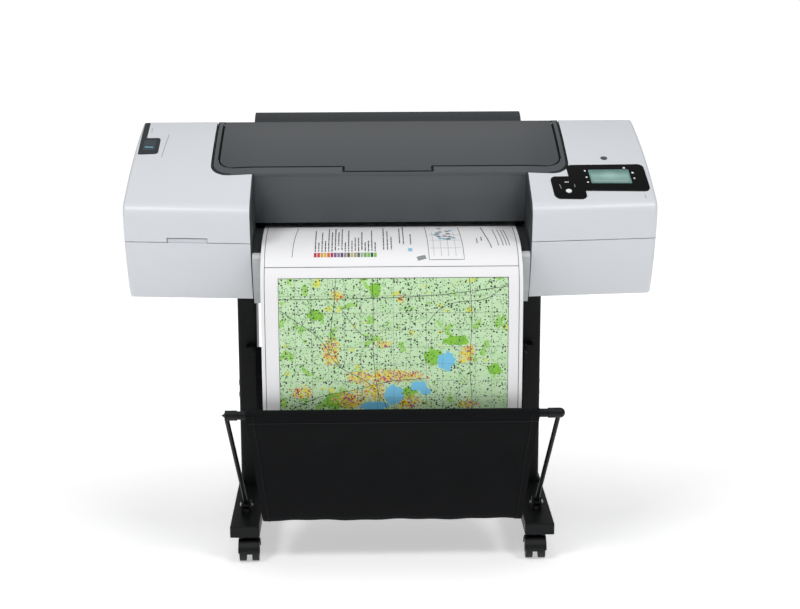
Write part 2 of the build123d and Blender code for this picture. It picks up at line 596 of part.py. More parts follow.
def make_drive():
    """The drive roller, its gears, the pinch rollers above it and the two motors."""
    with BuildPart() as roller:
        rod_x((-315, 315), DRIVE_Y, DRIVE_Z, DRIVE_R)
        rod_x((-600, 600), DRIVE_Y, DRIVE_Z, 6)
    save(roller, "drive_roller")
    with BuildPart() as gear:
        rod_x(GEAR_X, DRIVE_Y, DRIVE_Z, GEAR_R)
        rod_x((GEAR_X[0], 600), DRIVE_Y, DRIVE_Z, 6, mode=Mode.SUBTRACT)
        with Locations(Location(((GEAR_X[0] + GEAR_X[1]) / 2, DRIVE_Y, DRIVE_Z), (0, 90, 0))):
            with PolarLocations(19, 6):
                Cylinder(6, 20, mode=Mode.SUBTRACT)
            with PolarLocations(GEAR_R, 48):
                Box(2, 1.6, 20, mode=Mode.SUBTRACT)
    save(gear, "roller_gear")
    with BuildPart() as pinion:
        rod_x(GEAR_X, PINION_Y, DRIVE_Z, PINION_R)
        rod_x((FRAME_X, GEAR_X[0]), PINION_Y, DRIVE_Z, 3)
        with Locations(Location(((GEAR_X[0] + GEAR_X[1]) / 2, PINION_Y, DRIVE_Z), (0, 90, 0))):
            with PolarLocations(PINION_R, 12):
                Box(2, 1.6, 20, mode=Mode.SUBTRACT)
    save(pinion, "motor_pinion")
    with BuildPart() as pinch:
        rod_x((-304, 304), DRIVE_Y, PINCH_Z, 2)
        for x in (-280, -200, -120, -40, 40, 120, 200, 280):
            rod_x((x - 16, x + 16), DRIVE_Y, PINCH_Z, PINCH_R)
    save(pinch, "pinch_rollers")
    with BuildPart() as motors:
        rod_y(PULLEY_X, (77, 122), BELT_Z, 18)
        block((PULLEY_X - 20, PULLEY_X + 20), (BEAM_Y[1], 77), (BELT_Z - 37, BELT_Z + 37))
        rod_y(PULLEY_X, (BEAM_Y[1] - 1, 77), BELT_Z, 3, mode=Mode.SUBTRACT)
        rod_x((542, FRAME_X), PINION_Y, DRIVE_Z, 20)
        rod_x((FRAME_X - 1, FRAME_X), PINION_Y, DRIVE_Z, 3.4, mode=Mode.SUBTRACT)
    save(motors, "drive_motors")


def make_service_parts():
    """Service station, ink bay with its cartridges, electronics and sockets."""
    with BuildPart() as station:
        block((402, 558), (-60, 34), (TRAY_Z1, 796))
        block((408, 552), (-54, 28), (780, 800), mode=Mode.SUBTRACT)
        for dx in (-34, 34):
            block((CARRIAGE_X + dx - 17, CARRIAGE_X + dx + 17), (-43, 11), (779, 800))
            block((CARRIAGE_X + dx - 14, CARRIAGE_X + dx + 14), (-40, 8), (797, 801), mode=Mode.SUBTRACT)
    save(station, "service_station")
    left = -588.0
    right = left + CARTRIDGES * CARTRIDGE_PITCH
    with BuildPart() as bay:
        block((left - 3, right + 3), (-112, 0), (TRAY_Z1, 660))
        block((left - 3, right + 3), (0, 12), (TRAY_Z1, 776))
        for n in range(CARTRIDGES + 1):
            x = left + n * CARTRIDGE_PITCH
            block((x - 1.5, x + 1.5), (-100, 0), (659, 690))
    save(bay, "ink_bay")
    with BuildPart() as inks:
        for n in range(CARTRIDGES):
            x = left + (n + 0.5) * CARTRIDGE_PITCH
            block((x - 17, x + 17), (-114, 0), (660, 768))
        fillet(inks.edges().filter_by(Axis.X).group_by(Axis.Y)[0], 3)
        for n in range(CARTRIDGES):
            x = left + (n + 0.5) * CARTRIDGE_PITCH
            block((x - 9, x + 9), (-122, -113), (742, 756))
    save(inks, "ink_cartridges")
    with BuildPart() as board:
        block((-320, -40), (70, 190), (668, 670))
        for x in (-310, -50):
            for y in (80, 180):
                rod_z(x, y, (TRAY_Z1, 668), 4)
        block((-290, -250), (100, 140), (670, 674))
        block((-220, -196), (90, 170), (670, 676))
        block((-150, -110), (150, 185), (670, 686))
        for x in (-90, -75, -60):
            rod_z(x, 100, (670, 688), 5)
    save(board, "main_board")
    with BuildPart() as supply:
        block((400, 500), (70, 186), (TRAY_Z1, 740))
        with Locations((450, 70, 705)):
            with GridLocations(10, 1, 8, 1):
                Box(4, 6, 40, mode=Mode.SUBTRACT)
    save(supply, "power_supply")
    with BuildPart() as sockets:
        block((428.3, 483.7), (186, BACK_Y + 2), (680.3, 711.7))
        block((437, 467), (BACK_Y - 14, BACK_Y + 3), (686, 706), mode=Mode.SUBTRACT)
        for dx, dz in ((-7, -3), (7, -3), (0, 4)):
            block((451 + dx, 453 + dx), (BACK_Y - 15, BACK_Y - 3), (694 + dz, 698 + dz))
        block((473, 480), (BACK_Y, BACK_Y + 4), (689, 703))
        block((508.3, 587.7), (198, BACK_Y + 1), (684.3, 707.7))
        block((506, 590), (198, BACK_Y - WALL - 0.5), (682, 710))
        for x in (528, 566):
            block((x - 7, x + 7), (BACK_Y - 10, BACK_Y + 3), (689, 702), mode=Mode.SUBTRACT)
    save(sockets, "rear_sockets")


# ---------------------------------------------------------------- controls
def make_controls():
    """The control panel, its screen and its button, and the load lever with every hinge's pins."""
    panel_skin = (END_PROUD - END_INNER) & panel_prism(0.0)
    screen_room = rectangle_prism(SCREEN_X, SCREEN_Y, 3, PANEL_TURN) & (END_PROUD - end_solid(0.0, 0.0))
    button = surface_plane(BUTTON_X, BUTTON_Y)
    with BuildPart() as panel:
        add(panel_skin)
        add(screen_room, mode=Mode.SUBTRACT)
        with Locations(button):
            Cylinder(BUTTON_R + 0.3, 30, mode=Mode.SUBTRACT)
            with Locations((0, 0, -WALL - 6)):
                Cylinder(BUTTON_R + 3, 4)
                Cylinder(2.05, 4, mode=Mode.SUBTRACT)
            for angle in (45, 225):
                with Locations(Rotation(0, 0, angle)):
                    with Locations((BUTTON_R + 1.5, 0, -WALL - 3)):
                        Box(2, 3, 6)
    save(panel, "control_panel")
    glass_x, glass_y = (SCREEN_X[0] + 0.2, SCREEN_X[1] - 0.2), (SCREEN_Y[0] + 0.2, SCREEN_Y[1] - 0.2)
    glass_skin = end_solid(-1.6, -1.6) - end_solid(0.0, 0.0)
    glass = rectangle_prism(glass_x, glass_y, 2.8, PANEL_TURN) & glass_skin
    with BuildPart() as screen:
        add(glass)
    save(screen, "display_screen")
    with BuildPart() as key:
        with Locations(button):
            with Locations((0, 0, 0.5)):
                Cylinder(BUTTON_R, 6)
            with Locations((0, 0, -7)):
                Cylinder(2, 12)
    save(key, "power_button")
    axis_z = surface_z(-LEVER_ARM_X[1], LEVER_AXIS_Y) - LEVER_AXIS_DROP
    blade = flip(end_solid(-1.0, -4.0) - end_solid(4.0, 6.0)) & lever_prism(0.0)
    with BuildPart() as lever:
        add(blade)
        rod_x(LEVER_ARM_X, LEVER_AXIS_Y, axis_z, KNUCKLE_R)
        rod_x(LEVER_ARM_X, LEVER_AXIS_Y, axis_z, 2.05, mode=Mode.SUBTRACT)
    save(lever, "load_lever")
    make_hinge_pins(axis_z)


def make_hinge_pins(lever_axis_z):
    """The pins of the lever, the lid, the roll cover and the ink door, and the lever's bracket."""
    bracket_x = (LEVER_ARM_X[1] + 2, LEVER_ARM_X[1] + 6)
    with BuildPart() as pins:
        rod_x((LEVER_ARM_X[0] - 0.4, bracket_x[1]), LEVER_AXIS_Y, lever_axis_z, 2)
        block(bracket_x, (LEVER_AXIS_Y - 3, LEVER_AXIS_Y + 3), (FRAME_TOP_Z, lever_axis_z + 2))
        for side in (-1, 1):
            rod_x((side * LID_PIN_X - 19.5, side * LID_PIN_X + 19.5), LID_AXIS_Y, lid_axis_z(), LID_PIN_R)
            for x in roll_knuckles():
                rod_x((side * x - 12.5, side * x + 12.5), ROLL_AXIS_Y, ROLL_AXIS_Z, 2)
        for x in door_knuckles():
            rod_x((x - 12.5, x + 12.5), DOOR_AXIS_Y, DOOR_AXIS_Z, 2)
    save(pins, "hinge_pins")


# ---------------------------------------------------------------- roll of paper
def make_roll():
    """The roll of paper, its spindle and hubs, the brackets that hold it and the cover over it."""
    with BuildPart() as spindle:
        rod_x((-312, 312), ROLL_Y, ROLL_Z, SPINDLE_R)
        rod_x((-332, 332), ROLL_Y, ROLL_Z, JOURNAL_R)
    save(spindle, "spindle")
    with BuildPart() as hubs:
        for side in (-1, 1):
            rod_x(sorted((side * 275, side * 306)), ROLL_Y, ROLL_Z, CORE_R)
            rod_x(sorted((side * 306, side * 311)), ROLL_Y, ROLL_Z, ROLL_R + 1)
            rod_x(sorted((side * 275, side * 311)), ROLL_Y, ROLL_Z, SPINDLE_R, mode=Mode.SUBTRACT)
    save(hubs, "spindle_hubs")
    with BuildPart() as roll:
        rod_x((-PAPER_HALF, PAPER_HALF), ROLL_Y, ROLL_Z, ROLL_R)
        rod_x((-PAPER_HALF, PAPER_HALF), ROLL_Y, ROLL_Z, CORE_R, mode=Mode.SUBTRACT)
    save(roll, "paper_roll")
    with BuildPart() as brackets:
        for side in (-1, 1):
            x = sorted((side * 316, side * 328))
            side_slab([(BACK_Y, 880), (236, 900), (285, 938), (285, 962), (240, 972), (BACK_Y, 980)], x)
            rod_x(x, ROLL_Y, ROLL_Z, JOURNAL_R + 0.06, mode=Mode.SUBTRACT)
            slot = (ROLL_Y - JOURNAL_R - 0.06, ROLL_Y + JOURNAL_R + 0.06)
            block(x, slot, (ROLL_Z, 990), mode=Mode.SUBTRACT)
    save(brackets, "roll_brackets")
    with BuildPart() as cover:
        with BuildSketch(Plane.YZ.offset(-ROLL_COVER_X)) as full:
            cover_sector(0.0)
        extrude(amount=2 * ROLL_COVER_X)
        with BuildSketch(Plane.YZ.offset(7 - ROLL_COVER_X)) as hollow:
            cover_sector(WALL)
        extrude(amount=2 * (ROLL_COVER_X - 7), mode=Mode.SUBTRACT)
        for side in (-1, 1):
            for x in roll_knuckles():
                span = (side * x - 6, side * x + 6)
                rod_x((side * x - 13, side * x + 13), ROLL_AXIS_Y, ROLL_AXIS_Z, 6.5, mode=Mode.SUBTRACT)
                rod_x(span, ROLL_AXIS_Y, ROLL_AXIS_Z, 5)
                block(span, (ROLL_AXIS_Y, ROLL_AXIS_Y + 10), (ROLL_AXIS_Z, ROLL_AXIS_Z + 5))
                rod_x(span, ROLL_AXIS_Y, ROLL_AXIS_Z, 2.05, mode=Mode.SUBTRACT)
    save(cover, "roll_cover")


def cover_sector(inset):
    """The roll cover's side view: the part of a circle above a chord, from hinge to lower edge."""
    with Locations((ROLL_Y, ROLL_Z)):
        Circle(ROLL_COVER_R - inset)
    radius = 2 * ROLL_COVER_R
    start, end = math.radians(129), math.radians(-20)
    first = (ROLL_Y + ROLL_COVER_R * math.cos(start), ROLL_Z + ROLL_COVER_R * math.sin(start))
    last = (ROLL_Y + ROLL_COVER_R * math.cos(end), ROLL_Z + ROLL_COVER_R * math.sin(end))
    along = math.atan2(last[1] - first[1], last[0] - first[0])
    push = (radius * math.sin(along), -radius * math.cos(along))
    ahead = (radius * math.cos(along), radius * math.sin(along))
    first = (first[0] - ahead[0], first[1] - ahead[1])
    last = (last[0] + ahead[0], last[1] + ahead[1])
    corners = [first, last, (last[0] + push[0], last[1] + push[1]), (first[0] + push[0], first[1] + push[1])]
    Polygon(*corners, align=None, mode=Mode.SUBTRACT)


# ---------------------------------------------------------------- stand
def make_stand():
    """Feet with the basket's pivot cheeks, legs, brace, rear bar and bolts."""
    with BuildPart() as feet:
        for side in (-1, 1):
            x = (side * FOOT_X - FOOT_HALF, side * FOOT_X + FOOT_HALF)
            block(x, FOOT_Y, FOOT_Z)
        fillet(feet.edges().filter_by(Axis.Z), 5)
        fillet(feet.faces().group_by(Axis.Z)[-1].edges(), 3)
        for side in (-1, 1):
            for dx in (-9.5, 9.5):
                x = side * PIVOT_X + dx
                block((x - 2.5, x + 2.5), (PIVOT_Y - 14, PIVOT_Y + 14), (FOOT_Z[1], PIVOT_Z))
                rod_x((x - 2.5, x + 2.5), PIVOT_Y, PIVOT_Z, 14)
                rod_x((x - 2.5, x + 2.5), PIVOT_Y, PIVOT_Z, 4, mode=Mode.SUBTRACT)
            for y in CASTER_YS:
                rod_z(side * CASTER_X, y, (FOOT_Z[0], FOOT_Z[1] - 6), STEM_R + 0.06, mode=Mode.SUBTRACT)
    save(feet, "feet")
    with BuildPart() as legs:
        for side in (-1, 1):
            x = sorted((side * LEG_X[0], side * LEG_X[1]))
            block(x, LEG_Y, (FOOT_Z[1], BODY_BOTTOM_Z))
        fillet(legs.edges().filter_by(Axis.Z), 6)
        for side in (-1, 1):
            x = sorted((side * LEG_X[0], side * LEG_X[1]))
            bore_x, bore_y = (x[0] + 3, x[1] - 3), (LEG_Y[0] + 3, LEG_Y[1] - 3)
            block(bore_x, bore_y, (FOOT_Z[1], BODY_BOTTOM_Z), mode=Mode.SUBTRACT)
            block((x[0] - 8, x[1] + 5), (LEG_Y[0] - 14, LEG_Y[1] + 14), (BODY_BOTTOM_Z - 5, BODY_BOTTOM_Z))
            block((x[0] - 3, x[1] + 3), (LEG_Y[0] - 10, LEG_Y[1] + 10), (FOOT_Z[1], FOOT_Z[1] + 6))
    save(legs, "legs")
    with BuildPart() as brace:
        block((-LEG_X[0], LEG_X[0]), (122, 158), (300, 372))
        fillet(brace.edges().filter_by(Axis.X), 5)
    save(brace, "cross_brace")
    with BuildPart() as rear:
        rod_x((-366, 366), REAR_BAR_Y, REAR_BAR_Z, REAR_BAR_R)
        for side in (-1, 1):
            x = sorted((side * 350, side * 368))
            block(x, (REAR_BAR_Y - 11, LEG_Y[0]), (REAR_BAR_Z - 11, REAR_BAR_Z + 11))
    save(rear, "rear_bar")
    with BuildPart() as bolts:
        for side in (-1, 1):
            rod_x((side * PIVOT_X - 16, side * PIVOT_X + 16), PIVOT_Y, PIVOT_Z, 4)
            rod_x(sorted((side * (PIVOT_X + 12), side * (PIVOT_X + 16))), PIVOT_Y, PIVOT_Z, 7)
            for z in (320, 352):
                rod_x(sorted((side * LEG_X[1], side * (LEG_X[1] + 4))), 140, z, 7)
            for y in (LEG_Y[0] - 7, LEG_Y[1] + 7):
                rod_z(side * 364.5, y, (BODY_BOTTOM_Z - 9, BODY_BOTTOM_Z - 5), 6)
    save(bolts, "stand_bolts")


def make_casters():
    """Four twin-wheel casters, each a fork and a pair of wheels on an axle."""
    for front, y in zip(("front", "rear"), CASTER_YS):
        for hand, side in (("left", -1), ("right", 1)):
            x, axle_y = side * CASTER_X, y - CASTER_TRAIL
            with BuildPart() as fork:
                rod_x((x - 26, x + 26), axle_y, WHEEL_R, 30)
                block((x - 27, x + 27), (axle_y - 40, axle_y + 40), (-10, WHEEL_R + 2), mode=Mode.SUBTRACT)
                for dx in (-16, 16):
                    rod_x((x + dx - 9, x + dx + 9), axle_y, WHEEL_R, 27.2, mode=Mode.SUBTRACT)
                rod_x((x - 6, x + 6), axle_y, WHEEL_R, 12)
                rod_x((x - 8, x + 8), axle_y, WHEEL_R, 4.05, mode=Mode.SUBTRACT)
                rod_z(x, y, (46, FOOT_Z[0] - 0.4), 17)
                rod_z(x, y, (46, FOOT_Z[1] - 7), STEM_R)
                rod_x((x - 26.5, x - 6.5), axle_y, WHEEL_R, 27.2, mode=Mode.SUBTRACT)
                rod_x((x + 6.5, x + 26.5), axle_y, WHEEL_R, 27.2, mode=Mode.SUBTRACT)
            save(fork, f"caster_fork_{front}_{hand}")
            with BuildPart() as wheels:
                rod_x((x - 20, x + 20), axle_y, WHEEL_R, 4)
                for dx in (-7.5 - WHEEL_WIDTH / 2, 7.5 + WHEEL_WIDTH / 2):
                    rod_x((x + dx - WHEEL_WIDTH / 2, x + dx + WHEEL_WIDTH / 2), axle_y, WHEEL_R, WHEEL_R)
            save(wheels, f"caster_wheels_{front}_{hand}")


# ---------------------------------------------------------------- basket and sheet
def sampled(points, count, tangents=None):
    """Evenly spread (Y, Z) points of the smooth curve through the given ones."""
    with BuildLine(mode=Mode.PRIVATE) as line:
        Spline(*points, tangents=tangents) if tangents else Spline(*points)
    curve = line.edges()[0]
    return [(spot.X, spot.Y) for spot in (curve @ (n / count) for n in range(count + 1))]


def around(centre, radius, first, last):
    """(Y, Z) points round a bar from one angle to another, in degrees."""
    steps = 20
    spots = []
    for n in range(steps + 1):
        angle = math.radians(first + (last - first) * n / steps)
        spots.append((centre[0] + radius * math.cos(angle), centre[1] + radius * math.sin(angle)))
    return spots


def ribbon(path, thick, half):
    """A thin ribbon along a path of (Y, Z) points, as wide as the given half width to each side."""
    left, right = [], []
    for n, (y, z) in enumerate(path):
        before, after = path[max(0, n - 1)], path[min(len(path) - 1, n + 1)]
        dy, dz = after[0] - before[0], after[1] - before[1]
        reach = thick / 2 / math.hypot(dy, dz)
        left.append((y - dz * reach, z + dy * reach))
        right.append((y + dz * reach, z - dy * reach))
    return side_slab([*left, *reversed(right)], (-half, half), mode=Mode.PRIVATE)


def make_basket():
    """The swinging front frame of the basket and its corners."""
    with BuildPart() as bar:
        rod_x((-BAR_X, BAR_X), BAR_Y, BAR_Z, BAR_R)
    save(bar, "basket_bar")
    with BuildPart() as corners:
        for side in (-1, 1):
            with BuildSketch(Plane(origin=(0, BAR_Y, BAR_Z), x_dir=(side, 0, 0), z_dir=(0, 0, 1))):
                with BuildLine():
                    Polyline((BAR_X + 2, 12), (BAR_X - 26, 12), (BAR_X - 26, BAR_R))
                    Polyline((BAR_X - 26, BAR_R), (BAR_X, BAR_R), (BAR_X, 0), (BAR_X + 14, 0))
                    RadiusArc((BAR_X + 14, 0), (BAR_X + 2, 12), -12 * side)
                make_face()
            revolve(axis=Axis((0, BAR_Y, BAR_Z), (1, 0, 0)))
    save(corners, "basket_corners")
    with BuildPart() as arms:
        for side in (-1, 1):
            top = Vector(side * BAR_X, BAR_Y, BAR_Z)
            foot = Vector(side * PIVOT_X, PIVOT_Y, PIVOT_Z)
            run = (foot - top).normalized()
            start = top + run * 14
            with BuildSketch(Plane(origin=start, z_dir=run)):
                Circle(5.5)
            extrude(amount=(foot - start).length - 9)
            rod_x((side * PIVOT_X - 6, side * PIVOT_X + 6), PIVOT_Y, PIVOT_Z, 11)
            rod_x((side * PIVOT_X - 6, side * PIVOT_X + 6), PIVOT_Y, PIVOT_Z, 4.05, mode=Mode.SUBTRACT)
    save(arms, "basket_arms")


def make_soft():
    """The fabric sling of the basket and the printed sheet that hangs into it."""
    reach = BAR_R + 0.4 + SLING_THICK / 2
    rear_reach = REAR_BAR_R + 0.4 + SLING_THICK / 2
    panel = [
        (BAR_Y - reach, BAR_Z),
        (-320, 330),
        (-287, 220),
        (-263, 140),
        (-245, 113),
        (-215, SLING_FOLD_Z),
        (-170, 120),
        (-80, 205),
        (0, 320),
        (45, 400),
        (REAR_BAR_Y - rear_reach, REAR_BAR_Z),
    ]
    front = [
        *around((BAR_Y, BAR_Z), reach, -50, 170),
        *sampled(panel, 70, tangents=[(0, -1), (0, 1)]),
        *around((REAR_BAR_Y, REAR_BAR_Z), rear_reach, 170, -50),
    ]
    with BuildPart() as sling:
        add(ribbon(front, SLING_THICK, SLING_X))
        for side in (-1, 1):
            with BuildSketch(Plane.XZ.offset(-200)):
                with BuildLine():
                    Polyline(
                        (side * SLING_X, BAR_Z),
                        (side * SLING_FOLD_X, SLING_FOLD_Z - 20),
                        (side * 420, SLING_FOLD_Z - 20),
                        (side * 420, BAR_Z),
                        close=True,
                    )
                make_face()
            extrude(amount=700, mode=Mode.SUBTRACT)
    save(sling, "basket_sling")
    middle = PAPER_Z + PAPER_THICK / 2
    web = [(ROLL_Y + 20, ROLL_Z - ROLL_R - 4), (DRIVE_Y + 14, middle + 1.2), (DRIVE_Y, middle)]
    out = [(-60, middle), (-130, 797), (-200, 787), (-252, 765), (-286, 725), (-298, 650), (-299, 540)]
    low = [(-294, 406), (-272, 270), (-246, 175)]
    hang = sampled([*out, *low], 60, tangents=[(-1, 0), (0.35, -1)])
    with BuildPart() as sheet:
        add(ribbon([*web, *hang], PAPER_THICK, PAPER_HALF))
    save(sheet, "printed_sheet")


if __name__ == "__main__":
    make_covers()
    make_hood()
    make_lid()
    make_recess_walls()
    make_guides()
    make_rear_cover()
    make_frame()
    make_carriage()
    make_drive()
    make_service_parts()
    make_controls()
    make_roll()
    make_stand()
    make_casters()
    make_basket()
    make_soft()
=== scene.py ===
"""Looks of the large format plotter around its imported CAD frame. Metres; +X right, +Y back, +Z up."""
import json
import math
import random

import bpy
import numpy as np
from mathutils import Matrix, Vector
from mathutils.bvhtree import BVHTree

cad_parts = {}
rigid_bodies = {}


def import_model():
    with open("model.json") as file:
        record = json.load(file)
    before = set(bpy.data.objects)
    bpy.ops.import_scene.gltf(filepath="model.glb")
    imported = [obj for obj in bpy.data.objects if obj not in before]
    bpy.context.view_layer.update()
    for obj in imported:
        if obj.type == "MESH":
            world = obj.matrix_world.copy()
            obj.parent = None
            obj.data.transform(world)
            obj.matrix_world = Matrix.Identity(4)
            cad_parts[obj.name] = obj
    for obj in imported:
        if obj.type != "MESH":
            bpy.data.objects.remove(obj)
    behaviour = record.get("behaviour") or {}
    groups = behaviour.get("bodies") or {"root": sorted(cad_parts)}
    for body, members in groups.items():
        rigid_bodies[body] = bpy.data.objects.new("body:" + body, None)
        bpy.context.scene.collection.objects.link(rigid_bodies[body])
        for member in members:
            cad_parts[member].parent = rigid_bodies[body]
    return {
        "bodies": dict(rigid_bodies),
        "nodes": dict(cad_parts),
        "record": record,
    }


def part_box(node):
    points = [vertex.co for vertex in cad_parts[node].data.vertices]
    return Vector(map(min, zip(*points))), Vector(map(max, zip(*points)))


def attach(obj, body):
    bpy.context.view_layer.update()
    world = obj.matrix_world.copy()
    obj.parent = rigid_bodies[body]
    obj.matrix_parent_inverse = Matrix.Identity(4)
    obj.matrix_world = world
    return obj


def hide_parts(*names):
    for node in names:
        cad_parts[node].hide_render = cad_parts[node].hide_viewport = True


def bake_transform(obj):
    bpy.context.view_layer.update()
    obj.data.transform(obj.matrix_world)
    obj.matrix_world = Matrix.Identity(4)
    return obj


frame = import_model()
NODES = frame["nodes"]
SLOTS = {part["node"]: part["material_slot"] for part in frame["record"]["subparts"]}
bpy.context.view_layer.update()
scene = bpy.context.scene
scene.view_settings.view_transform = "Standard"


# ------------------------------------------------------------------ camera
def make_camera():
    """A long lens a little to the left of the middle, looking slightly down."""
    pitch, yaw, roll = math.radians(13.10), math.radians(1.243), math.radians(-0.174)
    ahead = Vector((math.sin(yaw) * math.cos(pitch), math.cos(yaw) * math.cos(pitch), -math.sin(pitch)))
    right = Vector((math.cos(yaw), -math.sin(yaw), 0))
    up = right.cross(ahead)
    across = math.cos(roll) * right + math.sin(roll) * up
    upward = math.cos(roll) * up - math.sin(roll) * right
    data = bpy.data.cameras.new("camera")
    data.lens, data.sensor_width, data.sensor_fit = 76.46, 36.0, "HORIZONTAL"
    data.clip_start, data.clip_end = 0.1, 90
    camera = bpy.data.objects.new("camera", data)
    scene.collection.objects.link(camera)
    turn = Matrix((across, upward, -ahead)).transposed()
    camera.matrix_world = Matrix.Translation((-0.065, -4.142, 1.554)) @ turn.to_4x4()
    scene.camera = camera


make_camera()


# ------------------------------------------------------------------ materials
def ink(code, strength=1.0):
    """A linear colour from six hexadecimal digits."""
    parts = [int(code[n : n + 2], 16) / 255 for n in (0, 2, 4)]
    linear = [c / 12.92 if c <= 0.04045 else ((c + 0.055) / 1.055) ** 2.4 for c in parts]
    return (*[c * strength for c in linear], 1)


ROUGH_SPREAD = 0.03
GRAIN_DEPTH = 0.0004


class Recipe:
    """A material and short names for the nodes that build it."""

    def __init__(self, name):
        self.material = bpy.data.materials.new(name)
        self.material.use_nodes = True
        self.tree = self.material.node_tree
        self.shader = self.tree.nodes["Principled BSDF"]

    def node(self, kind, links=None, **values):
        """A node with its named inputs linked or set."""
        made = self.tree.nodes.new(kind)
        for key, value in values.items():
            setattr(made, key, value)
        for key, value in (links or {}).items():
            self.put(made.inputs[key], value)
        return made

    def put(self, socket, value):
        """Links a socket, or sets its value."""
        if isinstance(value, bpy.types.NodeSocket):
            self.tree.links.new(value, socket)
        else:
            socket.default_value = value

    def maths(self, operation, a, b=0.0):
        made = self.node("ShaderNodeMath", {0: a, 1: b}, operation=operation)
        return made.outputs[0]

    def mix(self, factor, a, b):
        """Colour a where factor is 0, and b where it is 1."""
        made = self.node("ShaderNodeMix", {"Factor": factor, "A": a, "B": b}, data_type="RGBA")
        return made.outputs["Result"]

    def noise(self, place, scale, detail=2.0):
        return self.node(
            "ShaderNodeTexNoise", {"Vector": place, "Scale": scale, "Detail": detail}
        ).outputs["Fac"]

    def cells(self, place, scale):
        """Distance to the nearest of many random points, and that point's random colour."""
        made = self.node("ShaderNodeTexVoronoi", {"Vector": place, "Scale": scale})
        return made.outputs["Distance"], made.outputs["Color"]

    def ramp(self, factor, stops, smooth=False):
        made = self.node("ShaderNodeValToRGB", {"Fac": factor})
        band = made.color_ramp
        band.interpolation = "LINEAR" if smooth else "CONSTANT"
        while len(band.elements) < len(stops):
            band.elements.new(0.5)
        for element, (spot, colour) in zip(band.elements, stops):
            element.position = spot
            element.color = colour
        return made.outputs["Color"]

    def above(self, value, limit):
        return self.maths("GREATER_THAN", value, limit)

    def both(self, *masks):
        result = masks[0]
        for mask in masks[1:]:
            result = self.maths("MULTIPLY", result, mask)
        return result

    def box(self, u, v, low, high):
        """1 inside a rectangle of the flat coordinates."""
        inside_u = self.both(self.above(u, low[0]), self.maths("LESS_THAN", u, high[0]))
        return self.both(inside_u, self.above(v, low[1]), self.maths("LESS_THAN", v, high[1]))

    def oval(self, u, v, middle, half):
        """Distance from an oval's middle, 1 on its rim."""
        across = self.maths("DIVIDE", self.maths("SUBTRACT", u, middle[0]), half[0])
        along = self.maths("DIVIDE", self.maths("SUBTRACT", v, middle[1]), half[1])
        squares = self.maths("ADD", self.maths("POWER", self.maths("ABSOLUTE", across), 2.0),
                             self.maths("POWER", self.maths("ABSOLUTE", along), 2.0))
        return self.maths("SQRT", squares)

    def flat(self):
        """The coordinates u, v of a piece before it was bent, and their vector."""
        vector = self.node("ShaderNodeAttribute", attribute_name="flat").outputs["Vector"]
        parts = self.node("ShaderNodeSeparateXYZ", {0: vector})
        return parts.outputs[0], parts.outputs[1], vector

    def finish(self, place, colour, rough, grain, grain_size, spread, edge):
        """Slight variation of colour and roughness, a fine relief and softened edges."""
        wear = self.noise(place, 3.5, 4.0)
        dark = (*[part * (1.0 - spread) for part in colour[:3]], 1)
        self.put(self.shader.inputs["Base Color"], self.mix(wear, dark, colour))
        low, high = max(0.02, rough - ROUGH_SPREAD), min(1.0, rough + ROUGH_SPREAD)
        polish = self.node("ShaderNodeMapRange", {"Value": wear, "To Min": low, "To Max": high})
        self.put(self.shader.inputs["Roughness"], polish.outputs["Result"])
        normal = None
        if edge:
            normal = self.node("ShaderNodeBevel", {"Radius": edge}, samples=4).outputs["Normal"]
        if grain:
            height = self.noise(place, grain_size, 3.0)
            links = {"Strength": grain, "Distance": GRAIN_DEPTH, "Height": height}
            if normal:
                links["Normal"] = normal
            normal = self.node("ShaderNodeBump", links).outputs["Normal"]
        if normal:
            self.put(self.shader.inputs["Normal"], normal)


def surface(name, code, rough, metallic=0.0, gloss=0.5, grain=0.06, size=900.0, spread=0.06, edge=0.0007):
    """A moulded, painted or metal surface."""
    recipe = Recipe(name)
    recipe.shader.inputs["Metallic"].default_value = metallic
    recipe.shader.inputs["Specular IOR Level"].default_value = gloss
    place = recipe.node("ShaderNodeTexCoord").outputs["Object"]
    recipe.finish(place, ink(code), rough, grain, size, spread, edge)
    return recipe.material


WEAVE_PITCH = 0.0016


def fabric(name, code):
    """Matt woven polyester: two crossed rows of threads."""
    recipe = Recipe(name)
    u, v, vector = recipe.flat()
    thread = 2 * math.pi / WEAVE_PITCH
    over = recipe.maths("SINE", recipe.maths("MULTIPLY", u, thread))
    under = recipe.maths("SINE", recipe.maths("MULTIPLY", v, thread))
    weave = recipe.maths("MULTIPLY", over, under)
    tone = recipe.maths("ADD", recipe.maths("MULTIPLY", weave, 0.25), recipe.noise(vector, 14.0, 4.0))
    colour = recipe.mix(tone, ink(code, 0.7), ink(code, 1.5))
    recipe.put(recipe.shader.inputs["Base Color"], colour)
    recipe.shader.inputs["Specular IOR Level"].default_value = 0.15
    recipe.shader.inputs["Roughness"].default_value = 0.85
    bump = recipe.node("ShaderNodeBump", {"Strength": 0.35, "Distance": 0.0003, "Height": weave})
    recipe.put(recipe.shader.inputs["Normal"], bump.outputs["Normal"])
    return recipe.material


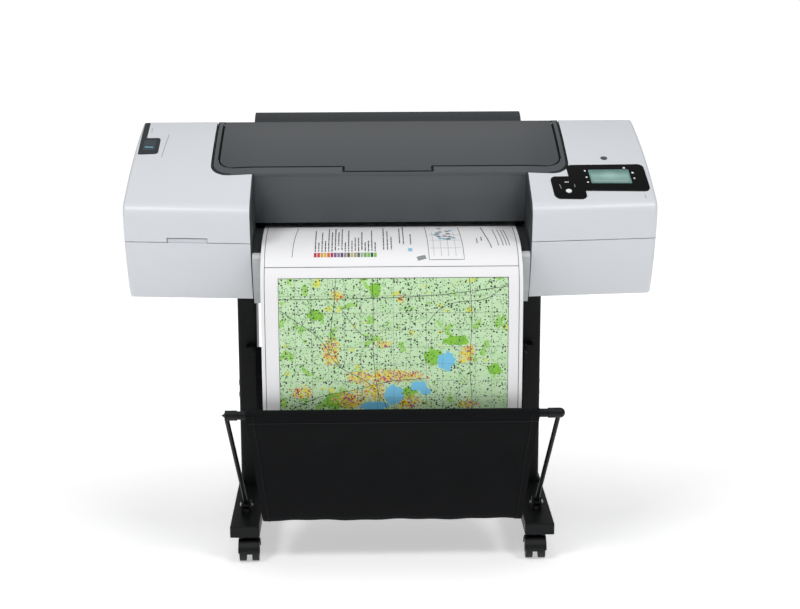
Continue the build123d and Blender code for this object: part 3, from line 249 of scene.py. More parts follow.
# The printed map, in metres on the flat sheet: u across it, v along it from the drive roller.
MAP_LOW, MAP_HIGH = (-0.264, 0.371), (0.271, 0.735)
LAKES = (
    ((0.126, 0.570), (0.020, 0.022)),
    ((0.062, 0.630), (0.021, 0.011)),
    ((0.078, 0.642), (0.013, 0.010)),
    ((0.003, 0.652), (0.022, 0.024)),
    ((-0.040, 0.679), (0.034, 0.011)),
)
TOWNS = (
    ((-0.143, 0.545), (0.022, 0.034)),
    ((-0.129, 0.412), (0.017, 0.012)),
    ((-0.018, 0.527), (0.020, 0.010)),
    ((0.022, 0.420), (0.013, 0.010)),
    ((0.176, 0.552), (0.020, 0.022)),
    ((-0.005, 0.605), (0.080, 0.017)),
    ((-0.075, 0.608), (0.034, 0.016)),
    ((-0.040, 0.640), (0.030, 0.026)),
    ((-0.213, 0.643), (0.026, 0.018)),
    ((0.035, 0.670), (0.030, 0.024)),
    ((0.180, 0.676), (0.030, 0.010)),
    ((-0.100, 0.662), (0.040, 0.026)),
)
WOODS = (
    ((-0.179, 0.457), (0.018, 0.013)),
    ((-0.038, 0.398), (0.013, 0.020)),
    ((-0.125, 0.665), (0.036, 0.020)),
    ((0.040, 0.645), (0.018, 0.014)),
    ((0.100, 0.560), (0.026, 0.018)),
    ((0.240, 0.590), (0.016, 0.014)),
    ((0.150, 0.520), (0.030, 0.012)),
)


def map_print():
    """Coated paper with a made-up land-use map: fields, hedges, woods, lakes and towns."""
    recipe = Recipe("paper_print")
    u, v, vector = recipe.flat()
    ragged = recipe.maths("MULTIPLY", recipe.maths("SUBTRACT", recipe.noise(vector, 90.0, 3.0), 0.5), 1.3)

    def near(places):
        """Distance from the middle of the nearest of some ovals, about 1 on its ragged rim."""
        closest = None
        for middle, half in places:
            reach = recipe.oval(u, v, middle, half)
            closest = reach if closest is None else recipe.maths("MINIMUM", closest, reach)
        return recipe.maths("ADD", closest, ragged)

    fields = recipe.mix(recipe.noise(vector, 40.0, 5.0), ink("aede98"), ink("ddf2d6"))
    leafy = recipe.above(recipe.noise(vector, 26.0, 4.0), 0.62)
    land = recipe.mix(leafy, fields, ink("9fd66e"))
    elsewhere = recipe.node("ShaderNodeVectorMath", {0: vector, 1: (3.1, 1.7, 0.0)}, operation="ADD")
    bright = recipe.above(recipe.noise(elsewhere.outputs[0], 31.0, 3.0), 0.66)
    land = recipe.mix(bright, land, ink("d9e26a"))
    land = recipe.mix(recipe.maths("LESS_THAN", near(WOODS), 1.0), land, ink("86c93c"))
    for scale, limit, share, code in ((150.0, 0.32, 0.50, "16241a"), (270.0, 0.36, 0.56, "4a7a38")):
        distance, chance = recipe.cells(vector, scale)
        picked = recipe.node("ShaderNodeSeparateXYZ", {0: chance}).outputs[0]
        crowd = recipe.maths("ADD", picked, recipe.maths("MULTIPLY", recipe.noise(vector, 13.0, 2.0), 0.9))
        dots = recipe.both(recipe.maths("LESS_THAN", distance, limit), recipe.above(crowd, share + 0.45))
        land = recipe.mix(dots, land, ink(code))
    _, chance = recipe.cells(vector, 300.0)
    picked = recipe.node("ShaderNodeSeparateXYZ", {0: chance})
    scatter = recipe.maths("MULTIPLY", picked.outputs[1], 0.5)
    inside_town = recipe.maths("LESS_THAN", recipe.maths("ADD", near(TOWNS), scatter), 1.15)
    houses = recipe.ramp(picked.outputs[0], (
        (0.0, ink("e8d83c")), (0.36, ink("e0a040")), (0.50, ink("cc4448")), (0.58, ink("8f6a9e")),
        (0.66, ink("d9c4ae")), (0.78, ink("d6e05a")), (0.92, ink("a82a38"))))
    land = recipe.mix(recipe.both(inside_town, recipe.above(picked.outputs[2], 0.2)), land, houses)
    land = recipe.mix(recipe.maths("LESS_THAN", near(LAKES), 1.02), land, ink("76c8ec"))
    inside = recipe.box(u, v, MAP_LOW, MAP_HIGH)
    colour = recipe.mix(inside, ink("f4f4f6"), land)
    recipe.put(recipe.shader.inputs["Base Color"], colour)
    polish = recipe.noise(vector, 30.0)
    rough = recipe.node("ShaderNodeMapRange", {"Value": polish, "To Min": 0.42, "To Max": 0.55})
    recipe.put(recipe.shader.inputs["Roughness"], rough.outputs["Result"])
    fibres = recipe.noise(vector, 1600.0, 3.0)
    bump = recipe.node("ShaderNodeBump", {"Strength": 0.05, "Distance": 0.0002, "Height": fibres})
    recipe.put(recipe.shader.inputs["Normal"], bump.outputs["Normal"])
    return recipe.material


def display_picture():
    """A lit status picture: a teal field with a pale oval and a light strip under it."""
    recipe = Recipe("display_picture")
    u, v, vector = recipe.flat()
    field = recipe.ramp(v, ((0.0, ink("6f958f")), (0.55, ink("8fb5ab")), (1.0, ink("5c807c"))), smooth=True)
    glow = recipe.maths("SUBTRACT", 1.0, recipe.oval(u, v, (0.5, 0.58), (0.3, 0.42)))
    glow = recipe.maths("MINIMUM", recipe.maths("MAXIMUM", glow, 0.0), 0.8)
    colour = recipe.mix(recipe.maths("MULTIPLY", glow, 0.5), field, ink("b9d3ca"))
    strip = recipe.box(u, v, (0.03, 0.05), (0.97, 0.2))
    colour = recipe.mix(strip, colour, ink("93aaa4"))
    colour = recipe.mix(recipe.maths("MULTIPLY", recipe.noise(vector, 30.0), 0.12), colour, ink("2f4644"))
    recipe.put(recipe.shader.inputs["Base Color"], colour)
    recipe.put(recipe.shader.inputs["Emission Color"], colour)
    recipe.shader.inputs["Emission Strength"].default_value = 0.08
    recipe.shader.inputs["Roughness"].default_value = 0.15
    return recipe.material


SURFACES = {
    "cover_white": dict(code="dcdfe4", rough=0.34, spread=0.02, edge=0.0012),
    "hood_grey": dict(code="4c5154", rough=0.30, grain=0.03, spread=0.04, edge=0.0012),
    "lid_grey": dict(code="45494c", rough=0.28, gloss=0.4, grain=0.0, spread=0.0, edge=0.0012),
    "dark_plastic": dict(code="303437", rough=0.5, gloss=0.35, grain=0.12),
    "guide_grey": dict(code="c4c7ca", rough=0.45, spread=0.03),
    "zinc_steel": dict(code="b8babc", rough=0.34, metallic=1.0, grain=0.1, size=300.0),
    "beam_aluminium": dict(code="c9cbcc", rough=0.4, metallic=1.0, grain=0.1, size=500.0),
    "encoder_film": dict(code="9a9a9a", rough=0.25, edge=0.0),
    "roller_rubber": dict(code="26262a", rough=0.72, grain=0.3),
    "gear_plastic": dict(code="d6d4c8", rough=0.5),
    "black_plastic": dict(code="161719", rough=0.45, gloss=0.3, grain=0.15),
    "board_green": dict(code="1d5a36", rough=0.35, grain=0.1),
    "panel_black": dict(code="08090b", rough=0.16, gloss=0.2, grain=0.0, spread=0.3, edge=0.001),
    "screen": dict(code="6f958f", rough=0.15, grain=0.0, edge=0.0),
    "button_white": dict(code="f2f3f4", rough=0.3, spread=0.02, edge=0.0006),
    "stand_black": dict(code="0e1012", rough=0.42, gloss=0.22, grain=0.2, spread=0.2, edge=0.001),
    "fitting_black": dict(code="101214", rough=0.4, gloss=0.25, grain=0.1, spread=0.15),
    "paper": dict(code="f6f6f8", rough=0.55, grain=0.03, spread=0.02, edge=0.0),
    "caster_black": dict(code="111214", rough=0.4, gloss=0.3, grain=0.1, spread=0.15),
    "wheel_rubber": dict(code="242528", rough=0.62, gloss=0.3, grain=0.2, spread=0.15),
    "ink_black": dict(code="2b2f31", rough=0.6, grain=0.0, edge=0.0),
    "ink_dim": dict(code="5a6063", rough=0.6, grain=0.0, edge=0.0),
    # painted shade: near-black for the strips laid in and beside the gaps round the lid and the hood
    "gap_shade_black": dict(code="060708", rough=0.8, gloss=0.1, grain=0.2, edge=0.0),
    "lever_slate": dict(code="39454c", rough=0.3, grain=0.03, edge=0.0),
    "ink_grey": dict(code="8d9294", rough=0.6, grain=0.0, edge=0.0),
    "ink_blue": dict(code="8fc6de", rough=0.6, grain=0.0, edge=0.0),
    "rim_grey": dict(code="6d7073", rough=0.4, spread=0.1),
    # painted shade: the grey that stands for the shade down in fine grooves of the white covers
    "groove_shade": dict(code="8f9499", rough=0.6, grain=0.0, edge=0.0),
}
CHIPS = (  # colours of the map's legend
    "b8202c", "c93a2e", "d9a63c", "e0b63a", "cf6a34", "b0303c", "7a5b8c", "8a7a9c", "5c4468", "8c8c94",
    "5a4a3c", "c4b48a", "9aa46a", "5a5e70", "a8b490", "6aa84e", "7cb860", "1d5a2c", "7cc04e",
)
MATERIALS = {name: surface(name, **facts) for name, facts in SURFACES.items()}
MATERIALS["sling_fabric"] = fabric("sling_fabric", "0b0c0e")
MATERIALS["paper_print"] = map_print()
MATERIALS["display_picture"] = display_picture()
for chip in CHIPS:
    MATERIALS[chip] = surface("chip_" + chip, chip, 0.6, grain=0.0, edge=0.0)


CASE_SHARP, SLAB_SHARP, TURNED_SHARP = math.radians(28), math.radians(50), math.radians(35)


def dress_nodes():
    """Gives every CAD node its material, with sharp edges only where its faces turn."""
    for name, node in NODES.items():
        node.data.materials.clear()
        node.data.materials.append(MATERIALS["lid_grey" if name == "main_lid" else SLOTS[name]])
        for face in node.data.polygons:
            face.use_smooth = True
            face.material_index = 0
        node.data.set_sharp_from_angle(angle=CASE_SHARP)


dress_nodes()


# ------------------------------------------------------------------ floor and light
WORLD_STRENGTH = 0.27
FLOOR_GLOW, BACKDROP_GLOW = 0.45, 0.82  # in front of the object, and well behind it
GLOW_START_Y, GLOW_END_Y = 0.1, 1.6
LAMPS = (
    ("key", (-1.9, -2.2, 3.3), (0, 0, 0.9), 1.0, 43),
    ("fill", (1.9, -2.2, 3.3), (0, 0, 0.9), 1.0, 35),
    ("top", (0.0, -0.5, 3.4), (0, 0, 0.9), 1.2, 17),
    ("back", (0.0, 1.9, 3.0), (0, 0.1, 1.0), 1.4, 2.2),
)


def floor_material():
    """Matt white that glows more towards the back."""
    recipe = Recipe("floor")
    recipe.shader.inputs["Base Color"].default_value = (0.9, 0.9, 0.9, 1)
    recipe.shader.inputs["Roughness"].default_value = 0.95
    recipe.shader.inputs["Emission Color"].default_value = (1, 1, 1, 1)
    place = recipe.node("ShaderNodeNewGeometry").outputs["Position"]
    parts = recipe.node("ShaderNodeSeparateXYZ", {0: place})
    glow = recipe.node("ShaderNodeMapRange", {
        "Value": parts.outputs["Y"], "From Min": GLOW_START_Y, "From Max": GLOW_END_Y,
        "To Min": FLOOR_GLOW, "To Max": BACKDROP_GLOW,
    })
    recipe.put(recipe.shader.inputs["Emission Strength"], glow.outputs["Result"])
    return recipe.material


def make_stage():
    """A pale floor, an even white sky and the soft lamps."""
    bpy.ops.mesh.primitive_plane_add(size=80, location=(0, 0, 0))
    floor = bpy.context.object
    floor.name = "floor"
    floor.data.materials.append(floor_material())
    world = bpy.data.worlds.new("world")
    world.use_nodes = True
    sky = world.node_tree.nodes["Background"]
    sky.inputs["Color"].default_value = (1, 1, 1, 1)
    sky.inputs["Strength"].default_value = WORLD_STRENGTH
    scene.world = world
    for name, place, aim, size, power in LAMPS:
        data = bpy.data.lights.new(name, "AREA")
        data.shape, data.size, data.energy = "SQUARE", size, power
        lamp = bpy.data.objects.new(name, data)
        scene.collection.objects.link(lamp)
        lamp.location = place
        lamp.rotation_mode = "QUATERNION"
        lamp.rotation_quaternion = (Vector(aim) - Vector(place)).to_track_quat("-Z", "Y")


make_stage()


# ------------------------------------------------------------------ mesh helpers
class Slabs:
    """Gathers thin closed slabs into one mesh, each with its own material."""

    def __init__(self):
        self.points, self.faces, self.flats, self.picks, self.materials = [], [], [], [], []

    def add(self, top, bottom, material, flat=None):
        """top and bottom are grids of points, rows by columns; flat holds u, v for each."""
        top, bottom = np.asarray(top, float), np.asarray(bottom, float)
        rows, columns = top.shape[:2]
        start, count = len(self.points), rows * columns
        flats = np.zeros((rows, columns, 2)) if flat is None else np.asarray(flat, float)
        for grid in (top, bottom):
            self.points.extend(map(tuple, grid.reshape(-1, 3)))
            self.flats.extend(map(tuple, flats.reshape(-1, 2)))

        def at(row, column, side):
            return start + side * count + row * columns + column

        made = []
        for r in range(rows - 1):
            for c in range(columns - 1):
                made.append((at(r, c, 0), at(r, c + 1, 0), at(r + 1, c + 1, 0), at(r + 1, c, 0)))
                made.append((at(r, c, 1), at(r + 1, c, 1), at(r + 1, c + 1, 1), at(r, c + 1, 1)))
        for r in range(rows - 1):
            made.append((at(r, 0, 0), at(r + 1, 0, 0), at(r + 1, 0, 1), at(r, 0, 1)))
            made.append((at(r, columns - 1, 0), at(r, columns - 1, 1),
                         at(r + 1, columns - 1, 1), at(r + 1, columns - 1, 0)))
        for c in range(columns - 1):
            made.append((at(0, c, 0), at(0, c, 1), at(0, c + 1, 1), at(0, c + 1, 0)))
            made.append((at(rows - 1, c, 0), at(rows - 1, c + 1, 0),
                         at(rows - 1, c + 1, 1), at(rows - 1, c, 1)))
        if material not in self.materials:
            self.materials.append(material)
        self.faces.extend(made)
        self.picks.extend([self.materials.index(material)] * len(made))

    def build(self, name):
        mesh = bpy.data.meshes.new(name)
        mesh.from_pydata(self.points, [], self.faces)
        for material in self.materials:
            mesh.materials.append(MATERIALS[material])
        flat = mesh.attributes.new("flat", "FLOAT_VECTOR", "POINT")
        flat.data.foreach_set("vector", np.array([(u, v, 0.0) for u, v in self.flats]).ravel())
        for face, pick in zip(mesh.polygons, self.picks):
            face.material_index = pick
            face.use_smooth = True
        mesh.set_sharp_from_angle(angle=SLAB_SHARP)
        mesh.update()
        piece = bpy.data.objects.new(name, mesh)
        scene.collection.objects.link(piece)
        return piece


def ribbon(points, longest, width):
    """The middle of a flat strip through (x, y) points, in short steps, and its half width as vectors."""
    fine = [points[0]]
    for a, b in zip(points, points[1:]):
        count = max(1, int(math.dist(a, b) / longest))
        fine.extend((a[0] + (b[0] - a[0]) * n / count, a[1] + (b[1] - a[1]) * n / count)
                    for n in range(1, count + 1))
    line = np.array(fine)
    run = np.gradient(line, axis=0)
    run /= np.maximum(np.hypot(run[:, 0], run[:, 1]), 1e-9)[:, None]
    return line, np.stack([-run[:, 1], run[:, 0]], axis=1) * width / 2


def smooth_path(points, first, last, count):
    """count + 1 points along the smooth curve through (Y, Z) points, with its two end directions."""
    spots = np.array(points, float)
    steps = np.hypot(*np.diff(spots, axis=0).T)
    knots = np.concatenate([[0], np.cumsum(steps)])
    size = len(spots)
    system, wanted = np.eye(size), np.zeros((size, 2))
    wanted[0], wanted[-1] = np.array(first) / math.hypot(*first), np.array(last) / math.hypot(*last)
    for i in range(1, size - 1):
        before, after = steps[i - 1], steps[i]
        system[i, i - 1 : i + 2] = after, 2 * (before + after), before
        back, forth = (spots[i] - spots[i - 1]) / before, (spots[i + 1] - spots[i]) / after
        wanted[i] = 3 * (after * back + before * forth)
    slopes = np.linalg.solve(system, wanted)
    curve = []
    for along in np.linspace(0, knots[-1], count + 1):
        i = min(int(np.searchsorted(knots, along, side="right")) - 1, size - 2)
        step = steps[i]
        s = (along - knots[i]) / step
        curve.append(spots[i] * (1 + 2 * s) * (1 - s) ** 2 + spots[i + 1] * s * s * (3 - 2 * s)
                     + slopes[i] * step * s * (1 - s) ** 2 + slopes[i + 1] * step * s * s * (s - 1))
    return np.array(curve)


def around(centre, radius, first, last, steps=14):
    """(Y, Z) points round a bar from one angle to another, in degrees."""
    turns = np.radians(np.linspace(first, last, steps + 1))
    return np.stack([centre[0] + radius * np.cos(turns), centre[1] + radius * np.sin(turns)], axis=1)


class Path:
    """A strip's side view: places and outward directions by the distance along it."""

    def __init__(self, points):
        self.points = np.array(points)
        steps = np.hypot(*np.diff(self.points, axis=0).T)
        self.along = np.concatenate([[0], np.cumsum(steps)])
        self.length = float(self.along[-1])
        tangent = np.gradient(self.points, self.along, axis=0)
        tangent /= np.hypot(tangent[:, 0], tangent[:, 1])[:, None]
        self.normal = np.stack([tangent[:, 1], -tangent[:, 0]], axis=1)

    def at(self, distance, lift=0.0):
        """(Y, Z) at some distances along, raised off the outer face."""
        spot = [np.interp(distance, self.along, self.points[:, n]) for n in (0, 1)]
        out = [np.interp(distance, self.along, self.normal[:, n]) for n in (0, 1)]
        return spot[0] + lift * out[0], spot[1] + lift * out[1]

    def grid(self, u, v, lift):
        """Points of the strip for flat coordinates u across and v along."""
        y, z = self.at(v, lift)
        return np.stack([u, y, z], axis=-1)


# ------------------------------------------------------------------ the printed sheet
PLATEN_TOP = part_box("platen")[1][2]
SHEET_MIDDLE = PLATEN_TOP + 0.001
SHEET_THICK = 0.0005
ROLL_LOW, ROLL_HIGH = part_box("paper_roll")
SHEET_HALF = ROLL_HIGH[0]
ROLL_MIDDLE = (Vector(ROLL_LOW) + Vector(ROLL_HIGH)) / 2
ROLL_RADIUS = (ROLL_HIGH[2] - ROLL_LOW[2]) / 2


def sheet_path():
    """From the drive roller over the platen, then down in a long hanging curve into the basket."""
    flat_end = (-0.060, SHEET_MIDDLE)
    hang = [
        flat_end, (-0.130, 0.797), (-0.200, 0.787), (-0.252, 0.765), (-0.286, 0.725), (-0.298, 0.650),
        (-0.299, 0.540), (-0.294, 0.406), (-0.272, 0.270), (-0.246, 0.175),
    ]
    return Path([(0.055, SHEET_MIDDLE), (0.0, SHEET_MIDDLE), *smooth_path(hang, (-1, 0), (0.35, -1), 150)])


SHEET = sheet_path()


def strip_mark(slabs, points, width, material, lift=0.0003):
    """A printed line along (u, v) points, as a slab just over the sheet."""
    line, side = ribbon(points, 0.012, width)
    edges = np.stack([line - side, line + side], axis=1)
    top = SHEET.grid(edges[..., 0], edges[..., 1], lift + SHEET_THICK / 2)
    bottom = SHEET.grid(edges[..., 0], edges[..., 1], SHEET_THICK / 4)
    slabs.add(top, bottom, material)


def road(points, count=40):
    """Points along a smooth line through (u, v) points."""
    first, last = np.subtract(points[1], points[0]), np.subtract(points[-1], points[-2])
    return [tuple(spot) for spot in smooth_path(points, first, last, count)]


LEGEND_U, CHIP_V = (-0.182, -0.034), (0.301, 0.3155)
FIRST_V = 0.128
DIVIDER_V = 0.3435
BORDER_U, BORDER_HIGH = 0.296, 0.735
GRID_COLUMNS, GRID_ROWS, GRID_PITCH = 14, 9, 0.041
GRID_LINE, INSET_LINE, ROAD_LINE, EDGE_LINE = 0.0005, 0.0007, 0.0010, 0.0012
BORDER_LINE, DIVIDER_LINE, NOTE_LINE, LEGEND_LINE = 0.0013, 0.0014, 0.0024, 0.0026
ROADS = (
    [(-0.262, 0.445), (-0.205, 0.485), (-0.165, 0.520), (-0.125, 0.580), (-0.070, 0.612), (-0.020, 0.668),
     (0.0, 0.72)],
    [(-0.130, 0.371), (-0.136, 0.440), (-0.141, 0.530), (-0.120, 0.585)],
    [(-0.046, 0.371), (-0.044, 0.450), (-0.045, 0.520), (-0.040, 0.600), (-0.030, 0.670)],
    [(0.270, 0.385), (0.220, 0.420), (0.155, 0.428), (0.105, 0.450), (0.080, 0.480)],
    [(-0.262, 0.700), (-0.170, 0.655), (-0.095, 0.640), (0.000, 0.617), (0.080, 0.612)],
    [(0.180, 0.371), (0.186, 0.470), (0.182, 0.560), (0.190, 0.700)],
    [(-0.120, 0.440), (-0.075, 0.500), (-0.048, 0.520)],
    [(-0.262, 0.420), (-0.060, 0.418), (0.120, 0.410), (0.270, 0.392)],
)


def dashes(slabs, u, near, far, width, draw):
    """A broken stroke along v that stands for a line of notes."""
    v = near
    while v < far - 0.004:
        reach = min(far, v + draw.uniform(0.006, 0.022))
        strip_mark(slabs, [(u, v), (u, reach)], width, draw.choice(("ink_black", "ink_black", "ink_dim")))
        v = reach + 0.0028


def add_border(slabs):
    """The long border lines and the line between the notes and the map."""
    for side in (-1, 1):
        ends = [(side * BORDER_U, FIRST_V), (side * BORDER_U, BORDER_HIGH)]
        strip_mark(slabs, ends, BORDER_LINE, "ink_black")
    strip_mark(slabs, [(-BORDER_U, DIVIDER_V), (BORDER_U, DIVIDER_V)], DIVIDER_LINE, "ink_black")


def add_notes(slabs, draw):
    """The legend's colour chips, and broken strokes that stand for notes."""
    pitch = (LEGEND_U[1] - LEGEND_U[0]) / len(CHIPS)
    for n, chip in enumerate(CHIPS):
        u = LEGEND_U[0] + (n + 0.5) * pitch
        strip_mark(slabs, [(u, CHIP_V[0]), (u, CHIP_V[1])], pitch * 0.82, chip)
        far = draw.choice((0.150, 0.165, 0.180, 0.225, 0.245, 0.255))
        dashes(slabs, u, far, CHIP_V[0] - 0.005, LEGEND_LINE, draw)
    for u, near, far in (
        (-0.018, 0.14, 0.29), (-0.009, 0.17, 0.29), (0.0, 0.22, 0.29), (0.020, 0.15, 0.265),
        (0.029, 0.13, 0.268), (0.046, 0.20, 0.27), (0.203, 0.235, 0.262), (0.214, 0.225, 0.250),
    ):
        dashes(slabs, u, near, far, NOTE_LINE, draw)
    strip_mark(slabs, [(0.044, 0.285), (0.044, 0.297)], 0.010, "ink_blue")
    strip_mark(slabs, [(0.060, 0.322), (0.080, 0.316)], 0.012, "ink_grey")
    strip_mark(slabs, road([(-0.222, 0.140), (-0.228, 0.230), (-0.232, 0.315)], 12), EDGE_LINE, "ink_black")
    strip_mark(slabs, road([(0.218, 0.140), (0.226, 0.220), (0.236, 0.285)], 12), 0.0020, "ink_black")
    for u in (0.245, 0.256, 0.264, 0.271):
        strip_mark(slabs, [(u, 0.165), (u + 0.008, 0.275)], 0.0022, "ink_grey")


def add_inset(slabs, draw):
    """A small plan in a frame, with its own grid and a scatter of marks."""
    frame_line = [(0.083, 0.140), (0.088, 0.325), (0.170, 0.325), (0.163, 0.140)]
    strip_mark(slabs, frame_line, EDGE_LINE, "ink_black")
    for n in range(4):
        u = 0.098 + 0.017 * n
        strip_mark(slabs, [(u, 0.185), (u + 0.002, 0.315)], INSET_LINE, "ink_grey")
    for v in (0.205, 0.245, 0.285):
        strip_mark(slabs, [(0.090, v), (0.164, v)], INSET_LINE, "ink_grey")
    for _ in range(16):
        u, v = draw.uniform(0.100, 0.145), draw.uniform(0.145, 0.235)
        colour = draw.choice(("ink_grey", "ink_blue", "ink_grey"))
        strip_mark(slabs, [(u, v), (u + 0.007, v + 0.008)], 0.009, colour)


def add_map_lines(slabs):
    """The map's edges, its grid and its roads."""
    (left, low), (right, high) = MAP_LOW, MAP_HIGH
    strip_mark(slabs, [(left, low), (right, low)], EDGE_LINE, "ink_black")
    for u in (left, right):
        strip_mark(slabs, [(u, low), (u, high)], ROAD_LINE, "ink_black")
    for n in range(1, GRID_COLUMNS):
        u = left + (right - left) * n / GRID_COLUMNS
        strip_mark(slabs, [(u, low), (u, high)], GRID_LINE, "ink_grey")
    for n in range(1, GRID_ROWS):
        v = low + GRID_PITCH * n
        strip_mark(slabs, [(left, v), (right, v)], GRID_LINE, "ink_grey")
    for route in ROADS:
        strip_mark(slabs, road(route), ROAD_LINE, "ink_black", lift=0.0004)


def make_print_lines():
    """All the printed lines and chips, as one piece."""
    slabs = Slabs()
    draw = random.Random(4)
    add_border(slabs)
    add_notes(slabs, draw)
    add_inset(slabs, draw)
    add_map_lines(slabs)
    return slabs.build("print_lines")


def make_printed_sheet():
    """The sheet itself: the web from the roll, the flat run and the hanging curve."""
    slabs = Slabs()
    v = np.concatenate([np.linspace(0, 0.115, 5), np.linspace(0.121, SHEET.length, 130)])
    u = np.linspace(-SHEET_HALF, SHEET_HALF, 31)
    us, vs = np.meshgrid(u, v)
    half = SHEET_THICK / 2
    slabs.add(SHEET.grid(us, vs, half), SHEET.grid(us, vs, -half), "paper_print", np.stack([us, vs], axis=-1))
    off_roll = (ROLL_MIDDLE[1] + 0.020, ROLL_MIDDLE[2] - ROLL_RADIUS - 0.004)
    feed = Path([off_roll, (0.069, SHEET_MIDDLE + 0.0012), (0.055, SHEET_MIDDLE)])
    us_web, vs_web = np.meshgrid(u, np.linspace(0, feed.length, 12))
    slabs.add(feed.grid(us_web, vs_web, half), feed.grid(us_web, vs_web, -half), "paper")
    sheet = slabs.build("printed_paper")
    lines = make_print_lines()
    for piece in (sheet, lines):
        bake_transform(piece)
    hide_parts("printed_sheet")


make_printed_sheet()


# ------------------------------------------------------------------ the basket's sling
def middle_of(node):
    low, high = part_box(node)
    return [(a + b) / 2 for a, b in zip(low, high)]


BAR = middle_of("basket_bar")
BAR_RADIUS = (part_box("basket_bar")[1][2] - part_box("basket_bar")[0][2]) / 2
REAR_BAR_RADIUS = 0.008
SLING_HALF, SLING_FOLD_HALF, SLING_FOLD_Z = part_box("basket_sling")[1][0], 0.311, 0.108
SLING_THICK = 0.0014
STITCH_PITCH, STITCH_LENGTH = 0.007, 0.0045


def sling_path():
    """Round the front bar, down the front, back along the fold and up to the rear bar."""
    reach, rear_reach = BAR_RADIUS + 0.0012, REAR_BAR_RADIUS + 0.0012
    rear = (0.072, 0.455)
    panel = [
        (BAR[1] - reach, BAR[2]), (-0.320, 0.330), (-0.287, 0.220), (-0.263, 0.140), (-0.245, 0.113),
        (-0.215, SLING_FOLD_Z), (-0.170, 0.120), (-0.080, 0.205), (0.0, 0.320), (0.045, 0.400),
        (rear[0] - rear_reach, rear[1]),
    ]
    return Path(np.concatenate([
        around((BAR[1], BAR[2]), reach, -50, 170), smooth_path(panel, (0, -1), (0, 1), 120),
        around(rear, rear_reach, 170, -50),
    ]))


def make_sling():
    """One continuous cloth panel that hangs a little slack, with turned hems and rows of stitches."""
    path = sling_path()
    v = np.linspace(0, path.length, 190)
    u = np.linspace(-1, 1, 49)
    us, vs = np.meshgrid(u, v)

    def half_width(distance):
        z = path.at(distance)[1]
        share = np.clip((z - (SLING_FOLD_Z - 0.02)) / (BAR[2] - SLING_FOLD_Z + 0.02), 0, 1)
        return SLING_FOLD_HALF + (SLING_HALF - SLING_FOLD_HALF) * share

    def slack(across, distance):
        """Shallow waves that run down from the bars and fade towards them."""
        fade = np.sin(np.pi * np.clip((distance - 0.05) / (path.length - 0.10), 0, 1))
        waves = 0.0011 * np.sin(9 * across + 11 * distance) + 0.0008 * np.sin(23 * across - 7 * distance)
        belly = 0.004 * (1 - across**2) * np.sin(np.pi * np.clip((distance - 0.04) / 0.30, 0, 1))
        return fade * waves - belly

    widths = half_width(vs)
    offset = slack(us, vs)
    slabs = Slabs()
    half = SLING_THICK / 2
    slabs.add(path.grid(us * widths, vs, offset + half), path.grid(us * widths, vs, offset - half),
              "sling_fabric", np.stack([us * widths, vs], axis=-1))
    sling = slabs.build("sling_cloth")

    trim = Slabs()

    def band(low_u, high_u, low_v, high_v, lift, rows, material="sling_fabric"):
        """A strip of cloth or thread on the sling's outer face; u runs from -1 to 1."""
        gu, gv = np.meshgrid(np.linspace(low_u, high_u, 3), np.linspace(low_v, high_v, rows))
        wide = half_width(gv)
        base = slack(gu, gv) + half
        top = path.grid(gu * wide, gv, base + lift)
        trim.add(top, path.grid(gu * wide, gv, base - 0.0004), material, np.stack([gu * wide, gv], axis=-1))

    start, end = 0.045, path.length - 0.040
    for side in (-1, 1):
        inner, outer = sorted((side * 0.945, side * 0.998))
        band(inner, outer, start, end, 0.0007, 150)
        stitch_u = sorted((side * 0.950, side * 0.954))
        for n in range(int((end - start) / STITCH_PITCH)):
            here = start + STITCH_PITCH * n
            band(*stitch_u, here, here + STITCH_LENGTH, 0.0013, 2, "fitting_black")
    for row_v in (0.062, path.length - 0.055):
        band(-0.99, 0.99, row_v, row_v + 0.0016, 0.0009, 2, "fitting_black")
    hems = trim.build("sling_hems")
    for piece in (sling, hems):
        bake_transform(piece)
    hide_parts("basket_sling")
    widths_along = half_width(v)


make_sling()


# ------------------------------------------------------------------ small marks on the covers and the panel
def skin_of(*names):
    """A function that finds the point on some CAD nodes' top surface at any (x, y), or just off it."""
    trees = []
    for name in names:
        mesh = NODES[name].data
        corners = [vertex.co.copy() for vertex in mesh.vertices]
        trees.append(BVHTree.FromPolygons(corners, [tuple(face.vertices) for face in mesh.polygons]))

    def place(x, y, lift):
        hits = [tree.ray_cast(Vector((x, y, 2.0)), Vector((0, 0, -1))) for tree in trees]
        spot, normal = max(((hit[0], hit[1]) for hit in hits if hit[0] is not None), key=lambda h: h[0].z)
        return tuple(spot + lift * (normal if normal.z > 0 else -normal))

    return place


PANEL_TURN = math.radians(4.0)


def panel_spot(u, v):
    """(x, y) on the control panel: u, v from the screen's middle, turned with the panel."""
    turn = PANEL_TURN
    low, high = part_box("display_screen")
    x, y = (low[0] + high[0]) / 2, (low[1] + high[1]) / 2
    return x + u * math.cos(turn) - v * math.sin(turn), y + u * math.sin(turn) + v * math.cos(turn)


MARK_SUNK = 0.0004  # how deep a mark's underside lies in its cover


def decal(slabs, place, corners, material, lift=0.0004, rows=2, columns=2, flat=False):
    """A thin slab between four (x, y) corners that follows the surface under it."""
    a, b, c, d = [np.array(corner) for corner in corners]
    grid, low, flats = [], [], []
    for r in np.linspace(0, 1, rows):
        shares = np.linspace(0, 1, columns)
        spots = [(a * (1 - s) + b * s) * (1 - r) + (d * (1 - s) + c * s) * r for s in shares]
        grid.append([place(*spot, lift) for spot in spots])
        low.append([place(*spot, -MARK_SUNK) for spot in spots])
        flats.append([(s, 1 - r) for s in shares])
    slabs.add(grid, low, material, flats if flat else None)


def bar_decal(slabs, place, start, end, width, material, **options):
    """A straight thin mark between two (x, y) points."""
    start, end = np.array(start), np.array(end)
    run = (end - start) / np.linalg.norm(end - start)
    side = np.array([-run[1], run[0]]) * width / 2
    decal(slabs, place, (start + side, end + side, end - side, start - side), material, **options)


